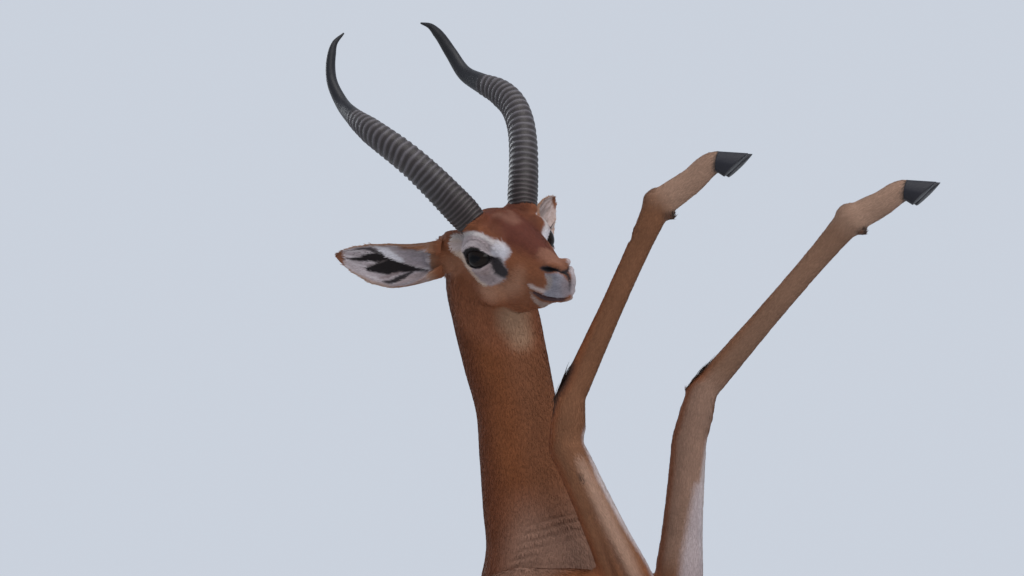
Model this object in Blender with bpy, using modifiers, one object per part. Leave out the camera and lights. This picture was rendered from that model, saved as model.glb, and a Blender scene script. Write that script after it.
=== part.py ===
"""A life-size gerenuk ram standing upright on its hind legs, on a flat stand.

Metres, +Z up. The animal faces +X, its left side is +Y, and the origin is the
middle of the stand's underside.
"""
import math

import bmesh
import bpy
import numpy as np
from mathutils import Matrix, Vector

# Driving sizes, all at life size
GAP = 0.0003
BODY_TRIANGLES = 4080
HEAD_TRIANGLES = 2740
EAR_TRIANGLES = 490
BASE_SIZE = (0.64, 0.46)
BASE_THICK = 0.022
EYE_RADIUS = 0.0185
EYE_AT = (-0.0125, 0.0375, -0.0037)
LID_THICK = 0.0032
EAR_LENGTH = 0.130
EAR_THICK = 0.0032
EAR_SAG = 0.0100
EAR_ROOT = (-0.084, 0.046, 0.001)
EAR_AXES = {-1: (-0.62, -0.72, 0.205), 1: (-0.57, 0.78, 0.170)}
HORN_RINGS = 32
HORN_RINGED = (0.035, 0.66)
HORN_SIDES = 10
HORN_RIDGE = 0.0017
HOOF_HEIGHT = 0.024
HOOF_SOLE = (0.028, -0.011)
TOE_OFFSET = 0.0108
TOE_HALF_WIDTH = 0.0094
TOE_TAPER = 0.32
FORE_DEWCLAWS = (0.014, 0, -0.013)
HIND_DEWCLAWS = (-0.019, 0, -0.004)
DEWCLAW_OFFSET = 0.0085
DEWCLAW_RADII = (0.0058, 0.0046, 0.0068)

# The head's place: midway between the eyes, turned to the animal's right
HEAD_AT = (0.0245, -0.075, 1.807)
HEAD_YAW = -46
HEAD_ROLL = 15
HEAD = (
    Matrix.Translation(HEAD_AT)
    @ Matrix.Rotation(math.radians(HEAD_YAW), 4, "Z")
    @ Matrix.Rotation(math.radians(HEAD_ROLL), 4, "X")
)

# Joints of the right and left limbs; each limb bends in its own way
FORE = {
    "right": {
        "shoulder": (0.015, -0.074, 1.385),
        "elbow": (0.1785, -0.094, 1.392),
        "wrist": (0.0911, -0.091, 1.5748),
        "carpus": (0.0957, -0.090, 1.6284),
        "fetlock": (0.2025, -0.098, 1.8503),
        "coronet": (0.2765, -0.103, 1.9060),
        "hoof_pitch": 43,
        "hoof_top": ((0.004, 0.002), (-0.014, -0.013)),
    },
    "left": {
        "shoulder": (0.015, 0.074, 1.385),
        "elbow": (0.1735, 0.090, 1.390),
        "wrist": (0.1900, 0.086, 1.5830),
        "carpus": (0.2060, 0.085, 1.6400),
        "fetlock": (0.3825, 0.088, 1.8380),
        "coronet": (0.4510, 0.090, 1.8795),
        "hoof_pitch": 43,
        "hoof_top": ((0.004, 0.002), (-0.014, -0.013)),
    },
}
HIND = {
    "right": {
        "hip": (-0.128, -0.050, 0.850),
        "knee": (-0.030, -0.074, 0.630),
        "hock": (-0.104, -0.070, 0.350),
        "fetlock": (-0.078, -0.072, 0.086),
        "coronet": (-0.040, -0.073, BASE_THICK + GAP + HOOF_HEIGHT),
        "hoof_pitch": 0,
        "hoof_top": ((0.011, 0.003), (-0.015, -0.010)),
    },
    "left": {
        "hip": (-0.128, 0.050, 0.850),
        "knee": (0.004, 0.078, 0.640),
        "hock": (-0.042, 0.074, 0.355),
        "fetlock": (-0.006, 0.075, 0.086),
        "coronet": (0.034, 0.076, BASE_THICK + GAP + HOOF_HEIGHT),
        "hoof_pitch": 0,
        "hoof_top": ((0.011, 0.003), (-0.015, -0.010)),
    },
}

# Rows of x, y, z, reach to the front, reach to the back, half width, turn
TRUNK = [
    (-0.190, 0, 0.730, 0.035, 0.035, 0.036, 0),
    (-0.172, 0, 0.765, 0.082, 0.068, 0.066, 0),
    (-0.140, 0, 0.840, 0.112, 0.098, 0.084, 0),
    (-0.104, 0, 0.930, 0.092, 0.102, 0.070, 0),
    (-0.070, 0, 1.030, 0.110, 0.107, 0.082, 0),
    (-0.034, 0, 1.130, 0.136, 0.116, 0.099, 0),
    (0.004, 0, 1.230, 0.154, 0.124, 0.100, 0),
    (0.026, 0, 1.310, 0.146, 0.116, 0.091, 0),
    (0.036, 0, 1.375, 0.116, 0.094, 0.078, 0),
    (0.038, 0, 1.430, 0.066, 0.062, 0.046, 0),
]
NECK = [
    (0.034, 0.000, 1.350, 0.098, 0.092, 0.066, 0),
    (0.036, 0.000, 1.420, 0.080, 0.075, 0.056, 0),
    (0.032, 0.000, 1.461, 0.066, 0.064, 0.047, 0),
    (0.022, 0.000, 1.513, 0.057, 0.058, 0.043, -3),
    (0.013, 0.000, 1.567, 0.053, 0.053, 0.041, -6),
    (0.004, 0.000, 1.625, 0.050, 0.049, 0.041, -10),
    (-0.010, 0.000, 1.680, 0.0545, 0.051, 0.043, -18),
    (-0.022, 0.001, 1.730, 0.056, 0.053, 0.046, -30),
    (-0.036, 0.002, 1.775, 0.049, 0.048, 0.044, -42),
    (-0.046, 0.000, 1.812, 0.030, 0.034, 0.034, -46),
]
# From the nose back, in the head's own frame: reach up, reach down, half width
SKULL = [
    (0.1120, 0, -0.0475, 0.004, 0.005, 0.0062, 0),
    (0.1088, 0, -0.0465, 0.0095, 0.013, 0.0110, 0),
    (0.0990, 0, -0.0455, 0.016, 0.0225, 0.0150, 0),
    (0.0860, 0, -0.0430, 0.022, 0.0285, 0.0175, 0),
    (0.0700, 0, -0.0390, 0.027, 0.0335, 0.0202, 0),
    (0.0500, 0, -0.0320, 0.031, 0.049, 0.0258, 0),
    (0.0300, 0, -0.0230, 0.035, 0.062, 0.0325, 0),
    (0.0080, 0, -0.0140, 0.040, 0.071, 0.0372, 0),
    (-0.0180, 0, -0.0060, 0.0475, 0.073, 0.0400, 0),
    (-0.0450, 0, -0.0040, 0.0495, 0.065, 0.0415, 0),
    (-0.0720, 0, -0.0040, 0.045, 0.058, 0.0395, 0),
    (-0.0960, 0, -0.0020, 0.033, 0.045, 0.0325, 0),
    (-0.1120, 0, 0.0000, 0.014, 0.022, 0.0180, 0),
]
# The left horn's middle line in the head's frame, and its half thickness
HORN = [
    (-0.0235, 0.0318, 0.0290),
    (-0.0270, 0.0374, 0.0430),
    (-0.0365, 0.0519, 0.0730),
    (-0.0485, 0.0661, 0.1020),
    (-0.0660, 0.0789, 0.1285),
    (-0.0910, 0.0878, 0.1503),
    (-0.1205, 0.0897, 0.1665),
    (-0.1520, 0.0865, 0.1795),
    (-0.1805, 0.0824, 0.1960),
    (-0.1965, 0.0795, 0.2240),
    (-0.1985, 0.0703, 0.2500),
    (-0.1980, 0.0628, 0.2615),
    (-0.1944, 0.0493, 0.2697),
]
HORN_TAPER = [
    (0.00, 0.0160),
    (0.03, 0.0206),
    (0.07, 0.0214),
    (0.20, 0.0204),
    (0.40, 0.0183),
    (0.52, 0.0165),
    (0.58, 0.0142),
    (0.64, 0.0122),
    (0.70, 0.0103),
    (0.80, 0.0082),
    (0.92, 0.0056),
    (1.00, 0.0010),
]
HORN_FLATNESS = 0.82
HORN_TIP_FROM = 0.55
HORN_TIP_SHIFT = {-1: (0, 0.0036, 0.0050), 1: (0, -0.0005, -0.0070)}
MOUTH_LINE = [
    (0.0590, 0.0208, -0.0523),
    (0.0672, 0.0192, -0.0566),
    (0.0791, 0.0160, -0.0612),
    (0.0946, 0.0110, -0.0645),
    (0.1055, 0.0000, -0.0660),
]
TAIL = [
    (-0.205, 0.000, 0.800, 0.030, 0.026, 0.026, 0),
    (-0.244, 0.000, 0.765, 0.019, 0.019, 0.017, 0),
    (-0.262, 0.002, 0.700, 0.013, 0.013, 0.011, 0),
    (-0.262, 0.006, 0.620, 0.010, 0.010, 0.009, 0),
    (-0.256, 0.010, 0.545, 0.009, 0.009, 0.008, 0),
    (-0.252, 0.013, 0.500, 0.007, 0.007, 0.007, 0),
]


def new_collection(name):
    """A collection linked to the scene."""
    made = bpy.data.collections.new(name)
    bpy.context.scene.collection.children.link(made)
    return made


def clear_scene():
    """Take away every object that is in the scene."""
    for item in list(bpy.data.objects):
        bpy.data.objects.remove(item, do_unlink=True)


clear_scene()
BODY = new_collection("gerenuk")
CUTTERS = new_collection("cutters")


def material(name, color, roughness):
    """A Principled material with one colour."""
    made = bpy.data.materials.new(name)
    made.use_nodes = True
    shader = made.node_tree.nodes["Principled BSDF"]
    shader.inputs["Base Color"].default_value = (*color, 1)
    shader.inputs["Roughness"].default_value = roughness
    return made


COAT = material("rufous_coat", (0.36, 0.17, 0.075), 0.85)
PALE_COAT = material("pale_coat", (0.50, 0.33, 0.20), 0.85)
EAR_COAT = material("ear_coat", (0.42, 0.27, 0.16), 0.85)
DARK_HAIR = material("dark_hair", (0.035, 0.025, 0.020), 0.80)
HORN_MATTER = material("horn", (0.055, 0.045, 0.038), 0.55)
HOOF_MATTER = material("hoof", (0.030, 0.030, 0.034), 0.50)
EYE_MATTER = material("dark_eye", (0.008, 0.006, 0.005), 0.05)
BASE_WOOD = material("stand_wood", (0.32, 0.20, 0.11), 0.45)


def curve(rows, where):
    """Rows read at fractions of the length, on a smooth curve through them."""
    rows = np.array(rows, float)
    steps = np.linalg.norm(np.diff(rows[:, :3], axis=0), axis=1)
    knots = np.concatenate([[0], np.cumsum(steps)]) / steps.sum()
    slopes = np.gradient(rows, knots, axis=0)
    where = np.asarray(where, float)
    low = np.clip(np.searchsorted(knots, where, side="right") - 1, 0, len(rows) - 2)
    span = knots[low + 1] - knots[low]
    t = ((where - knots[low]) / span)[:, None]
    span = span[:, None]
    return (
        (2 * t**3 - 3 * t**2 + 1) * rows[low]
        + (t**3 - 2 * t**2 + t) * span * slopes[low]
        + (3 * t**2 - 2 * t**3) * rows[low + 1]
        + (t**3 - t**2) * span * slopes[low + 1]
    )


def unit(vectors):
    """The same vectors with length one."""
    return vectors / np.linalg.norm(vectors, axis=-1, keepdims=True)


def grid_shell(rings, ends):
    """A closed tube through rings of points, with a point closing each end."""
    count, sides = rings.shape[:2]
    verts = [Vector(p) for p in rings.reshape(-1, 3)] + [Vector(p) for p in ends]
    faces = []
    for i in range(count - 1):
        for j in range(sides):
            k = (j + 1) % sides
            faces.append((i * sides + j, i * sides + k, (i + 1) * sides + k, (i + 1) * sides + j))
    last = (count - 1) * sides
    for j in range(sides):
        k = (j + 1) % sides
        faces.append((count * sides, k, j))
        faces.append((count * sides + 1, last + j, last + k))
    return verts, faces


def loft(rows, sides=20, rings=30, square=1.0, pinch=(0.0, 0.0), bulge=0.4, where=None, upright=False):
    """A closed shell along a path; each row has its reaches, half width and turn."""
    if where is None:
        where = np.linspace(0, 1, rings)
    grid = curve(rows, where)
    middle = grid[:, :3]
    along = unit(np.gradient(middle, axis=0))
    turn = np.radians(grid[:, 6])
    side = np.stack([-np.sin(turn), np.cos(turn), 0 * turn], axis=1)
    if upright:
        side = np.tile((0.0, 0.0, 1.0), (len(grid), 1))
    side = unit(side - (side * along).sum(1, keepdims=True) * along)
    out = np.cross(side, along)
    angle = np.arange(sides) * 2 * math.pi / sides
    c, s = np.cos(angle), np.sin(angle)
    reach = np.where(c > 0, grid[:, 3:4], grid[:, 4:5]) * np.sign(c) * np.abs(c) ** square
    narrow = 1 - pinch[0] * np.maximum(c, 0) - pinch[1] * np.maximum(-c, 0)
    across = grid[:, 5:6] * np.sign(s) * np.abs(s) ** square * narrow
    rings = middle[:, None] + reach[..., None] * out[:, None] + across[..., None] * side[:, None]
    ends = (
        middle[0] - along[0] * bulge * grid[0, 5],
        middle[-1] + along[-1] * bulge * grid[-1, 5],
    )
    return grid_shell(rings, ends)


def limb(joints, sides=16, rings=14):
    """A limb's shell from rows of x, y, z, half depth and half width."""
    return loft([(*row[:4], row[3], row[4], 0) for row in joints], sides, rings)


def between(start, end, *shares):
    """Rows on the line between two joints, from shares of its length and sizes."""
    a, b = np.array(start), np.array(end)
    return [(*(a + (b - a) * share), depth, width) for share, depth, width in shares]


def ball(middle, radii, turn=None, segments=20):
    """An ellipsoid shell with its half sizes, turned when asked."""
    work = bmesh.new()
    bmesh.ops.create_uvsphere(work, u_segments=segments, v_segments=segments // 2, radius=1)
    place = Matrix.Translation(middle) @ (turn or Matrix()) @ Matrix.Diagonal((*radii, 1))
    bmesh.ops.transform(work, matrix=place, verts=work.verts)
    shell = [v.co.copy() for v in work.verts], [[v.index for v in f.verts] for f in work.faces]
    work.free()
    return shell


def block(middle, size, up=(0, 0, 1)):
    """A box shell whose own up direction is given."""
    work = bmesh.new()
    bmesh.ops.create_cube(work, size=1)
    turn = Vector(up).to_track_quat("Z", "Y").to_matrix().to_4x4()
    place = Matrix.Translation(middle) @ turn @ Matrix.Diagonal((*size, 1))
    bmesh.ops.transform(work, matrix=place, verts=work.verts)
    shell = [v.co.copy() for v in work.verts], [[v.index for v in f.verts] for f in work.faces]
    work.free()
    return shell


def moved(shell, matrix):
    """The shell carried by a matrix."""
    verts, faces = shell
    return [matrix @ v for v in verts], faces


def mirrored(shell):
    """The shell on the other side of the head's middle plane."""
    verts, faces = shell
    return [Vector((v.x, -v.y, v.z)) for v in verts], [tuple(reversed(f)) for f in faces]


def make_object(name, shells, matter=None, where=BODY):
    """One object from shells, its faces turned outwards."""
    work = bmesh.new()
    for verts, faces in shells:
        made = [work.verts.new(v) for v in verts]
        for face in faces:
            work.faces.new([made[i] for i in face])
    bmesh.ops.recalc_face_normals(work, faces=work.faces)
    mesh = bpy.data.meshes.new(name)
    work.to_mesh(mesh)
    work.free()
    item = bpy.data.objects.new(name, mesh)
    where.objects.link(item)
    if matter:
        mesh.materials.append(matter)
    return item


def cutter(name, shells):
    """A hidden object that only shapes others."""
    item = make_object(name, shells, where=CUTTERS)
    item.hide_render = True
    item.display_type = "WIRE"
    return item


def settle(item):
    """Make the modifiers' result the object's own mesh."""
    view = bpy.context.evaluated_depsgraph_get()
    mesh = bpy.data.meshes.new_from_object(item.evaluated_get(view))
    matter = [slot for slot in item.data.materials]
    item.modifiers.clear()
    item.data = mesh
    mesh.materials.clear()
    for entry in matter:
        mesh.materials.append(entry)
    return item


def fuse(item, voxel, softening, triangles):
    """Melt an object's shells into one skin with about so many triangles."""
    melt = item.modifiers.new("melt", "REMESH")
    melt.mode = "VOXEL"
    melt.voxel_size = voxel
    soften = item.modifiers.new("soften", "SMOOTH")
    soften.factor = 0.5
    soften.iterations = softening
    settle(item)
    triangulate(item)
    thin = item.modifiers.new("thin", "DECIMATE")
    thin.ratio = triangles / len(item.data.polygons)
    return settle(item)


def triangulate(item):
    """Give the object only triangles."""
    work = bmesh.new()
    work.from_mesh(item.data)
    bmesh.ops.triangulate(work, faces=work.faces)
    work.to_mesh(item.data)
    work.free()


def combine(item, others, operation, solver="EXACT"):
    """Join or cut an object with a collection of closed ones, then remove these."""
    group = bpy.data.collections.new("operands")
    for other in others:
        group.objects.link(other)
    change = item.modifiers.new(operation.lower(), "BOOLEAN")
    change.operation = operation
    change.operand_type = "COLLECTION"
    change.collection = group
    change.solver = solver
    settle(item)
    for other in others:
        bpy.data.objects.remove(other, do_unlink=True)
    bpy.data.collections.remove(group)
    return item


def islands(item):
    """The object's separate closed surfaces, each as a list of its faces."""
    work = bmesh.new()
    work.from_mesh(item.data)
    bmesh.ops.triangulate(work, faces=work.faces)
    bmesh.ops.remove_doubles(work, verts=work.verts, dist=1e-6)
    left = set(work.faces)
    found = []
    while left:
        queue = [left.pop()]
        group = []
        while queue:
            face = queue.pop()
            group.append(face)
            for edge in face.edges:
                for other in edge.link_faces:
                    if other in left:
                        left.remove(other)
                        queue.append(other)
        verts = list({v for f in group for v in f.verts})
        number = {v: i for i, v in enumerate(verts)}
        found.append(([v.co.copy() for v in verts], [[number[v] for v in f.verts] for f in group]))
    work.free()
    return found


def volume(shell):
    """How much a shell of triangles holds."""
    verts, faces = shell
    return sum(verts[a].dot(verts[b].cross(verts[c])) for a, b, c in faces) / 6


def keep_largest(item):
    """Leave only the largest closed surface."""
    best = max(islands(item), key=volume)
    matter = [slot for slot in item.data.materials]
    name = item.name
    bpy.data.objects.remove(item, do_unlink=True)
    return make_object(name, [best], matter[0])


def split(item, seeds):
    """Part an object's closed surfaces into named ones by their nearest seeds."""
    pieces = sorted(islands(item), key=volume, reverse=True)
    bpy.data.objects.remove(item, do_unlink=True)
    made = {}
    for name, (point, matter) in seeds.items():
        def distance(shell):
            low = Vector([min(v[i] for v in shell[0]) for i in range(3)])
            high = Vector([max(v[i] for v in shell[0]) for i in range(3)])
            return ((low + high) / 2 - Vector(point)).length
        best = min(pieces[: len(seeds) + 1], key=distance)
        made[name] = make_object(name, [best], matter)
    return made


def grown(item, by):
    """A copy of the object, pushed out a little along its normals."""
    copy = item.copy()
    copy.data = item.data.copy()
    CUTTERS.objects.link(copy)
    push = copy.modifiers.new("push", "DISPLACE")
    push.strength = by
    push.mid_level = 0
    return settle(copy)


def slab(point, direction, half_depth, half_width, thick=GAP):
    """A thin box across a limb, which parts it in two."""
    return block(point, (2 * half_width, 2 * half_depth, thick), direction)


def mid(a, b, share=0.5):
    """A point on the way from one joint to another."""
    return Vector(a).lerp(Vector(b), share)


def foot_frame(joints):
    """The hoof's frame, with +X to the toe's tip and +Z away from the sole."""
    pitch = math.radians(joints["hoof_pitch"])
    return Matrix.Translation(joints["coronet"]) @ Matrix.Rotation(-pitch, 4, "Y")


def hoof_seat(joints):
    """The middle of a hoof's sloping top, and the way that it faces."""
    (fx, fz), (bx, bz) = joints["hoof_top"]
    frame = foot_frame(joints)
    middle = frame @ Vector(((fx + bx) / 2, 0, (fz + bz) / 2))
    up = frame.to_3x3() @ Vector((bz - fz, 0, fx - bx)).normalized()
    return middle, up


def hoof_end(joints):
    """A box that ends a pastern just above its hooves."""
    middle, up = hoof_seat(joints)
    return block(middle + up * (GAP - 0.016), (0.05, 0.06, 0.032), up)


def foreleg_shells(joints):
    """Upper arm, forearm, cannon and pastern of one foreleg."""
    shoulder, elbow, wrist, carpus = (joints[k] for k in ("shoulder", "elbow", "wrist", "carpus"))
    fetlock = Vector(joints["fetlock"])
    coronet, up = hoof_seat(joints)
    side = math.copysign(1, shoulder[1])
    blade = (-0.020, 0.060 * side, 1.255)
    below = coronet - up * 0.010
    return [
        limb([(*blade, 0.040, 0.018), (*shoulder, 0.046, 0.028), (*mid(shoulder, elbow), 0.044, 0.028)]),
        limb(between(shoulder, elbow, (0, 0.048, 0.028), (0.5, 0.046, 0.031), (1, 0.034, 0.025))),
        limb(between(elbow, wrist, (-0.06, 0.031, 0.023), (0.18, 0.0300, 0.0235), (0.42, 0.0258, 0.0208),
                     (0.67, 0.0234, 0.0187), (0.88, 0.0222, 0.0178), (1.0, 0.0216, 0.0180))
             + between(wrist, carpus, (0.35, 0.0212, 0.0182), (1.0, 0.0180, 0.0170))),
        ball(wrist, (0.0215, 0.0185, 0.0230)),
        ball(carpus, (0.0180, 0.0178, 0.0200)),
        limb(between(carpus, fetlock, (-0.05, 0.0175, 0.0165), (0.12, 0.0165, 0.0145), (0.5, 0.0143, 0.0118),
                     (0.85, 0.0152, 0.0125), (1.02, 0.0178, 0.0155))),
        ball(fetlock, (0.0195, 0.0160, 0.0205)),
        limb(between(fetlock, coronet, (0, 0.0182, 0.0150), (0.5, 0.0160, 0.0136), (1, 0.0124, 0.0168))
             + [(*below, 0.0114, 0.0172)]),
    ]


def hindleg_shells(joints):
    """Thigh, shank, cannon and pastern of one hind leg."""
    hip, knee, hock = joints["hip"], joints["knee"], joints["hock"]
    fetlock = Vector(joints["fetlock"])
    coronet, up = hoof_seat(joints)
    heel = Vector(hock) + Vector((-0.022, 0, 0.020))
    rump = Vector(hip) + Vector((0, 0, 0.045))
    below = coronet - up * 0.010
    return [
        limb(between(hip, knee, (-0.15, 0.085, 0.036), (0.15, 0.110, 0.047), (0.45, 0.096, 0.048),
                     (0.75, 0.068, 0.039), (0.98, 0.044, 0.030), (1.1, 0.028, 0.022))),
        limb(between(knee, hock, (-0.04, 0.036, 0.027), (0.12, 0.043, 0.030), (0.35, 0.035, 0.025),
                     (0.62, 0.0215, 0.0170), (0.88, 0.0185, 0.0145), (1.0, 0.0215, 0.0165))),
        limb([(*mid(knee, hock, 0.55) + Vector((-0.018, 0, 0)), 0.010, 0.009),
              (*mid(knee, heel, 0.85) + Vector((-0.006, 0, 0)), 0.0085, 0.0075), (*heel, 0.0115, 0.0105)]),
        limb([(*heel, 0.0120, 0.0110), (*hock, 0.0200, 0.0170),
              *between(hock, fetlock, (0.14, 0.0190, 0.0150), (0.5, 0.0152, 0.0122),
                       (0.86, 0.0150, 0.0125), (1.02, 0.0178, 0.0155))], rings=20),
        ball(rump, (0.070, 0.036, 0.070)),
        ball(fetlock, (0.0200, 0.0165, 0.0205)),
        limb(between(fetlock, coronet, (0, 0.0165, 0.0150), (0.5, 0.0140, 0.0142), (1, 0.0132, 0.0175))
             + [(*below, 0.0125, 0.0180)]),
    ]


def dewclaw_shells(joints, back):
    """The two small claws behind a fetlock."""
    place = Vector(joints["fetlock"]) + Vector(back)
    claws = []
    for y in (-DEWCLAW_OFFSET, DEWCLAW_OFFSET):
        claws.append(ball(place + Vector((0, y, 0)), DEWCLAW_RADII, segments=12))
    return claws


def body_seeds():
    """Each fleshy node's name, a point near its middle, and its material."""
    seeds = {
        "torso": ((-0.02, 0, 1.06), COAT),
        "neck": ((0.01, 0, 1.60), COAT),
        "tail": ((-0.255, 0.006, 0.62), COAT),
    }
    for side, joints in FORE.items():
        seeds[side + "_forearm"] = (mid(joints["elbow"], joints["wrist"], 0.55), PALE_COAT)
        seeds[side + "_fore_cannon"] = (mid(joints["carpus"], joints["fetlock"]), PALE_COAT)
        seeds[side + "_fore_pastern"] = (mid(joints["fetlock"], joints["coronet"]), PALE_COAT)
    for side, joints in HIND.items():
        seeds[side + "_thigh"] = (mid(joints["hip"], joints["knee"], 0.75), COAT)
        seeds[side + "_shank"] = (mid(joints["knee"], joints["hock"]), COAT)
        seeds[side + "_hind_cannon"] = (mid(joints["hock"], joints["fetlock"]), PALE_COAT)
        seeds[side + "_hind_pastern"] = (mid(joints["fetlock"], joints["coronet"]), PALE_COAT)
    return seeds


NECK_CUT_AT = Vector((-0.030, 0.0, 1.752))
NECK_CUT_UP = Vector((0.40, -0.215, 0.891)).normalized()
ELBOW_CUT_Z = 1.452
TAIL_END = Vector((-0.2525, 0.0125, 0.506))


def parting_slabs():
    """Thin boxes that part the body at its joints, and boxes that end it."""
    shells = [
        slab((0.032, 0, 1.452), (-0.12, 0, 1), 0.10, 0.066),
        slab((-0.262, 0, 0.695), (0, 0, 1), 0.030, 0.035),
        block(NECK_CUT_AT + NECK_CUT_UP * 0.08, (0.22, 0.22, 0.16), NECK_CUT_UP),
        block(TAIL_END - Vector((0, 0, 0.025)), (0.04, 0.04, 0.050)),
    ]
    for joints in FORE.values():
        elbow, wrist, carpus, fetlock = (Vector(joints[k]) for k in ("elbow", "wrist", "carpus", "fetlock"))
        share = (ELBOW_CUT_Z - elbow.z) / (wrist.z - elbow.z)
        shells.append(slab(mid(elbow, wrist, share), (0, 0, 1), 0.056, 0.046))
        shells.append(slab(mid(wrist, carpus, 0.6), fetlock - elbow, 0.040, 0.040))
        shells.append(slab(mid(fetlock, carpus, 0.10), fetlock - carpus, 0.032, 0.032))
        shells.append(hoof_end(joints))
    for side, joints in HIND.items():
        out = math.copysign(1, joints["hip"][1])
        hip, knee, hock = (Vector(joints[k]) for k in ("hip", "knee", "hock"))
        fetlock = Vector(joints["fetlock"])
        cut = mid(hip, knee, 0.62)
        cut.y = out * 0.078
        shells.append(slab(cut, Vector((hip.x - knee.x, 0, hip.z - knee.z)), 0.115, 0.0765))
        shells.append(slab(mid(knee, hock, 0.04), knee - hock, 0.075, 0.050))
        shells.append(slab(mid(hock, fetlock, 0.10), hock - fetlock, 0.045, 0.040))
        shells.append(slab(mid(fetlock, hock, 0.09), hock - fetlock, 0.032, 0.032))
        shells.append(hoof_end(joints))
    return shells


def build_body():
    """Trunk, neck, limbs and tail melted into one form, then parted at the joints."""
    shells = [
        loft(TRUNK, 28, 44, square=0.94, pinch=(0.16, 0.05)),
        loft(NECK, 24, 40),
        loft(TAIL, 12, 24),
    ]
    for joints in FORE.values():
        shells += foreleg_shells(joints)
        shells += dewclaw_shells(joints, FORE_DEWCLAWS)
    for joints in HIND.values():
        shells += hindleg_shells(joints)
        shells += dewclaw_shells(joints, HIND_DEWCLAWS)
    body = make_object("body", shells)
    fuse(body, 0.0042, 9, BODY_TRIANGLES)
    combine(body, [cutter("parting", [shell]) for shell in parting_slabs()], "DIFFERENCE")
    return split(body, body_seeds())


def eye_frame(side):
    """The eyeball's frame, with +X looking out of the head and a little forward."""
    look = Vector((0.47, side * 0.88, 0.02)).normalized()
    turn = look.to_track_quat("X", "Z").to_matrix().to_4x4()
    return Matrix.Translation((EYE_AT[0], side * EYE_AT[1], EYE_AT[2])) @ turn


def lid_opening(side):
    """The almond opening between the lids, as a cutter in the head's frame."""
    rows = []
    for x in (0.004, 0.012, 0.020, 0.030):
        spread = 0.80 + 10 * x
        rows.append((x, 0, 0.0008, 0.0118 * spread, 0.0106 * spread, 0.0152 * spread, 0))
    return moved(loft(rows, 16, 5, square=1.05, bulge=0), eye_frame(side))


def nostril(side):
    """One comma-shaped nostril, as a cutter in the head's frame."""
    rows = [
        (0.1075, side * 0.0060, -0.0335, 0.0022, 0.0022, 0.0022, 0),
        (0.1010, side * 0.0104, -0.0318, 0.0028, 0.0028, 0.0028, 0),
        (0.0940, side * 0.0125, -0.0311, 0.0024, 0.0024, 0.0024, 0),
        (0.0860, side * 0.0134, -0.0288, 0.0013, 0.0013, 0.0013, 0),
    ]
    return loft(rows, 8, 7)


def mouth_groove():
    """The line of the mouth, from one corner round the lips to the other."""
    left = [(*point, 0.0013, 0.0013, 0.0013, 0) for point in MOUTH_LINE]
    right = [(row[0], -row[1], *row[2:]) for row in reversed(left[:-1])]
    return loft(left + right, 6, 25, upright=True)


def head_shells():
    """Skull and muzzle, cheeks, orbits, lips and chin, in the head's frame."""
    shells = [loft(SKULL, 28, 44, square=0.9, pinch=(0.22, 0.30))]
    for side in (-1, 1):
        shells.append(ball((EYE_AT[0], side * EYE_AT[1], EYE_AT[2]), [EYE_RADIUS + LID_THICK] * 3))
        shells.append(ball((-0.015, side * 0.026, 0.008), (0.040, 0.025, 0.023)))
        shells.append(ball((-0.034, side * 0.021, -0.040), (0.042, 0.017, 0.028)))
        shells.append(ball((-0.026, side * 0.033, 0.036), (0.023, 0.019, 0.014)))
        shells.append(ball((-0.084, side * 0.036, 0.000), (0.020, 0.018, 0.020)))
        shells.append(ball((-0.074, side * 0.038, 0.013), (0.028, 0.017, 0.017)))
        shells.append(ball((-0.028, side * 0.037, -0.003), (0.019, 0.019, 0.022)))
        shells.append(ball((0.097, side * 0.0085, -0.0345), (0.0125, 0.0068, 0.0065)))
        shells.append(ball((0.0925, side * 0.0075, -0.0262), (0.0165, 0.0068, 0.0058)))
        shells.append(limb([(0.052, side * 0.0130, -0.0480, 0.0090, 0.0090),
                            (0.075, side * 0.0105, -0.0555, 0.0085, 0.0085),
                            (0.096, side * 0.0060, -0.0590, 0.0075, 0.0075)]))
        shells.append(limb([(0.056, side * 0.0080, -0.0590, 0.0090, 0.0090),
                            (0.074, side * 0.0065, -0.0620, 0.0080, 0.0080),
                            (0.090, side * 0.0045, -0.0645, 0.0070, 0.0070)]))
    shells.append(ball((0.090, 0, -0.0650), (0.016, 0.0110, 0.0070)))
    return shells


def build_head():
    """The head on the top of the neck, with its sockets, lids, nostrils and mouth."""
    shells = [moved(shell, HEAD) for shell in head_shells()]
    shells.append(loft(NECK, 24, 40))
    head = make_object("head", shells, COAT)
    fuse(head, 0.0024, 7, HEAD_TRIANGLES)
    whole = grown(head, GAP)
    cuts = [block(NECK_CUT_AT - NECK_CUT_UP * (0.25 - GAP), (0.5, 0.5, 0.5), NECK_CUT_UP)]
    for side in (-1, 1):
        cuts.append(moved(ball((0, 0, 0), [EYE_RADIUS + GAP] * 3, segments=26), HEAD @ eye_frame(side)))
        cuts.append(moved(lid_opening(side), HEAD))
        cuts.append(moved(nostril(side), HEAD))
    cuts.append(moved(mouth_groove(), HEAD))
    combine(head, [cutter("head_cut", [shell]) for shell in cuts], "DIFFERENCE")
    return keep_largest(head), whole


def build_eye(name, side):
    """One eyeball in its socket."""
    shell = ball((0, 0, 0), [EYE_RADIUS] * 3, segments=18)
    item = make_object(name, [moved(shell, HEAD @ eye_frame(side))], EYE_MATTER)
    item.data.shade_smooth()
    return item


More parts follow.
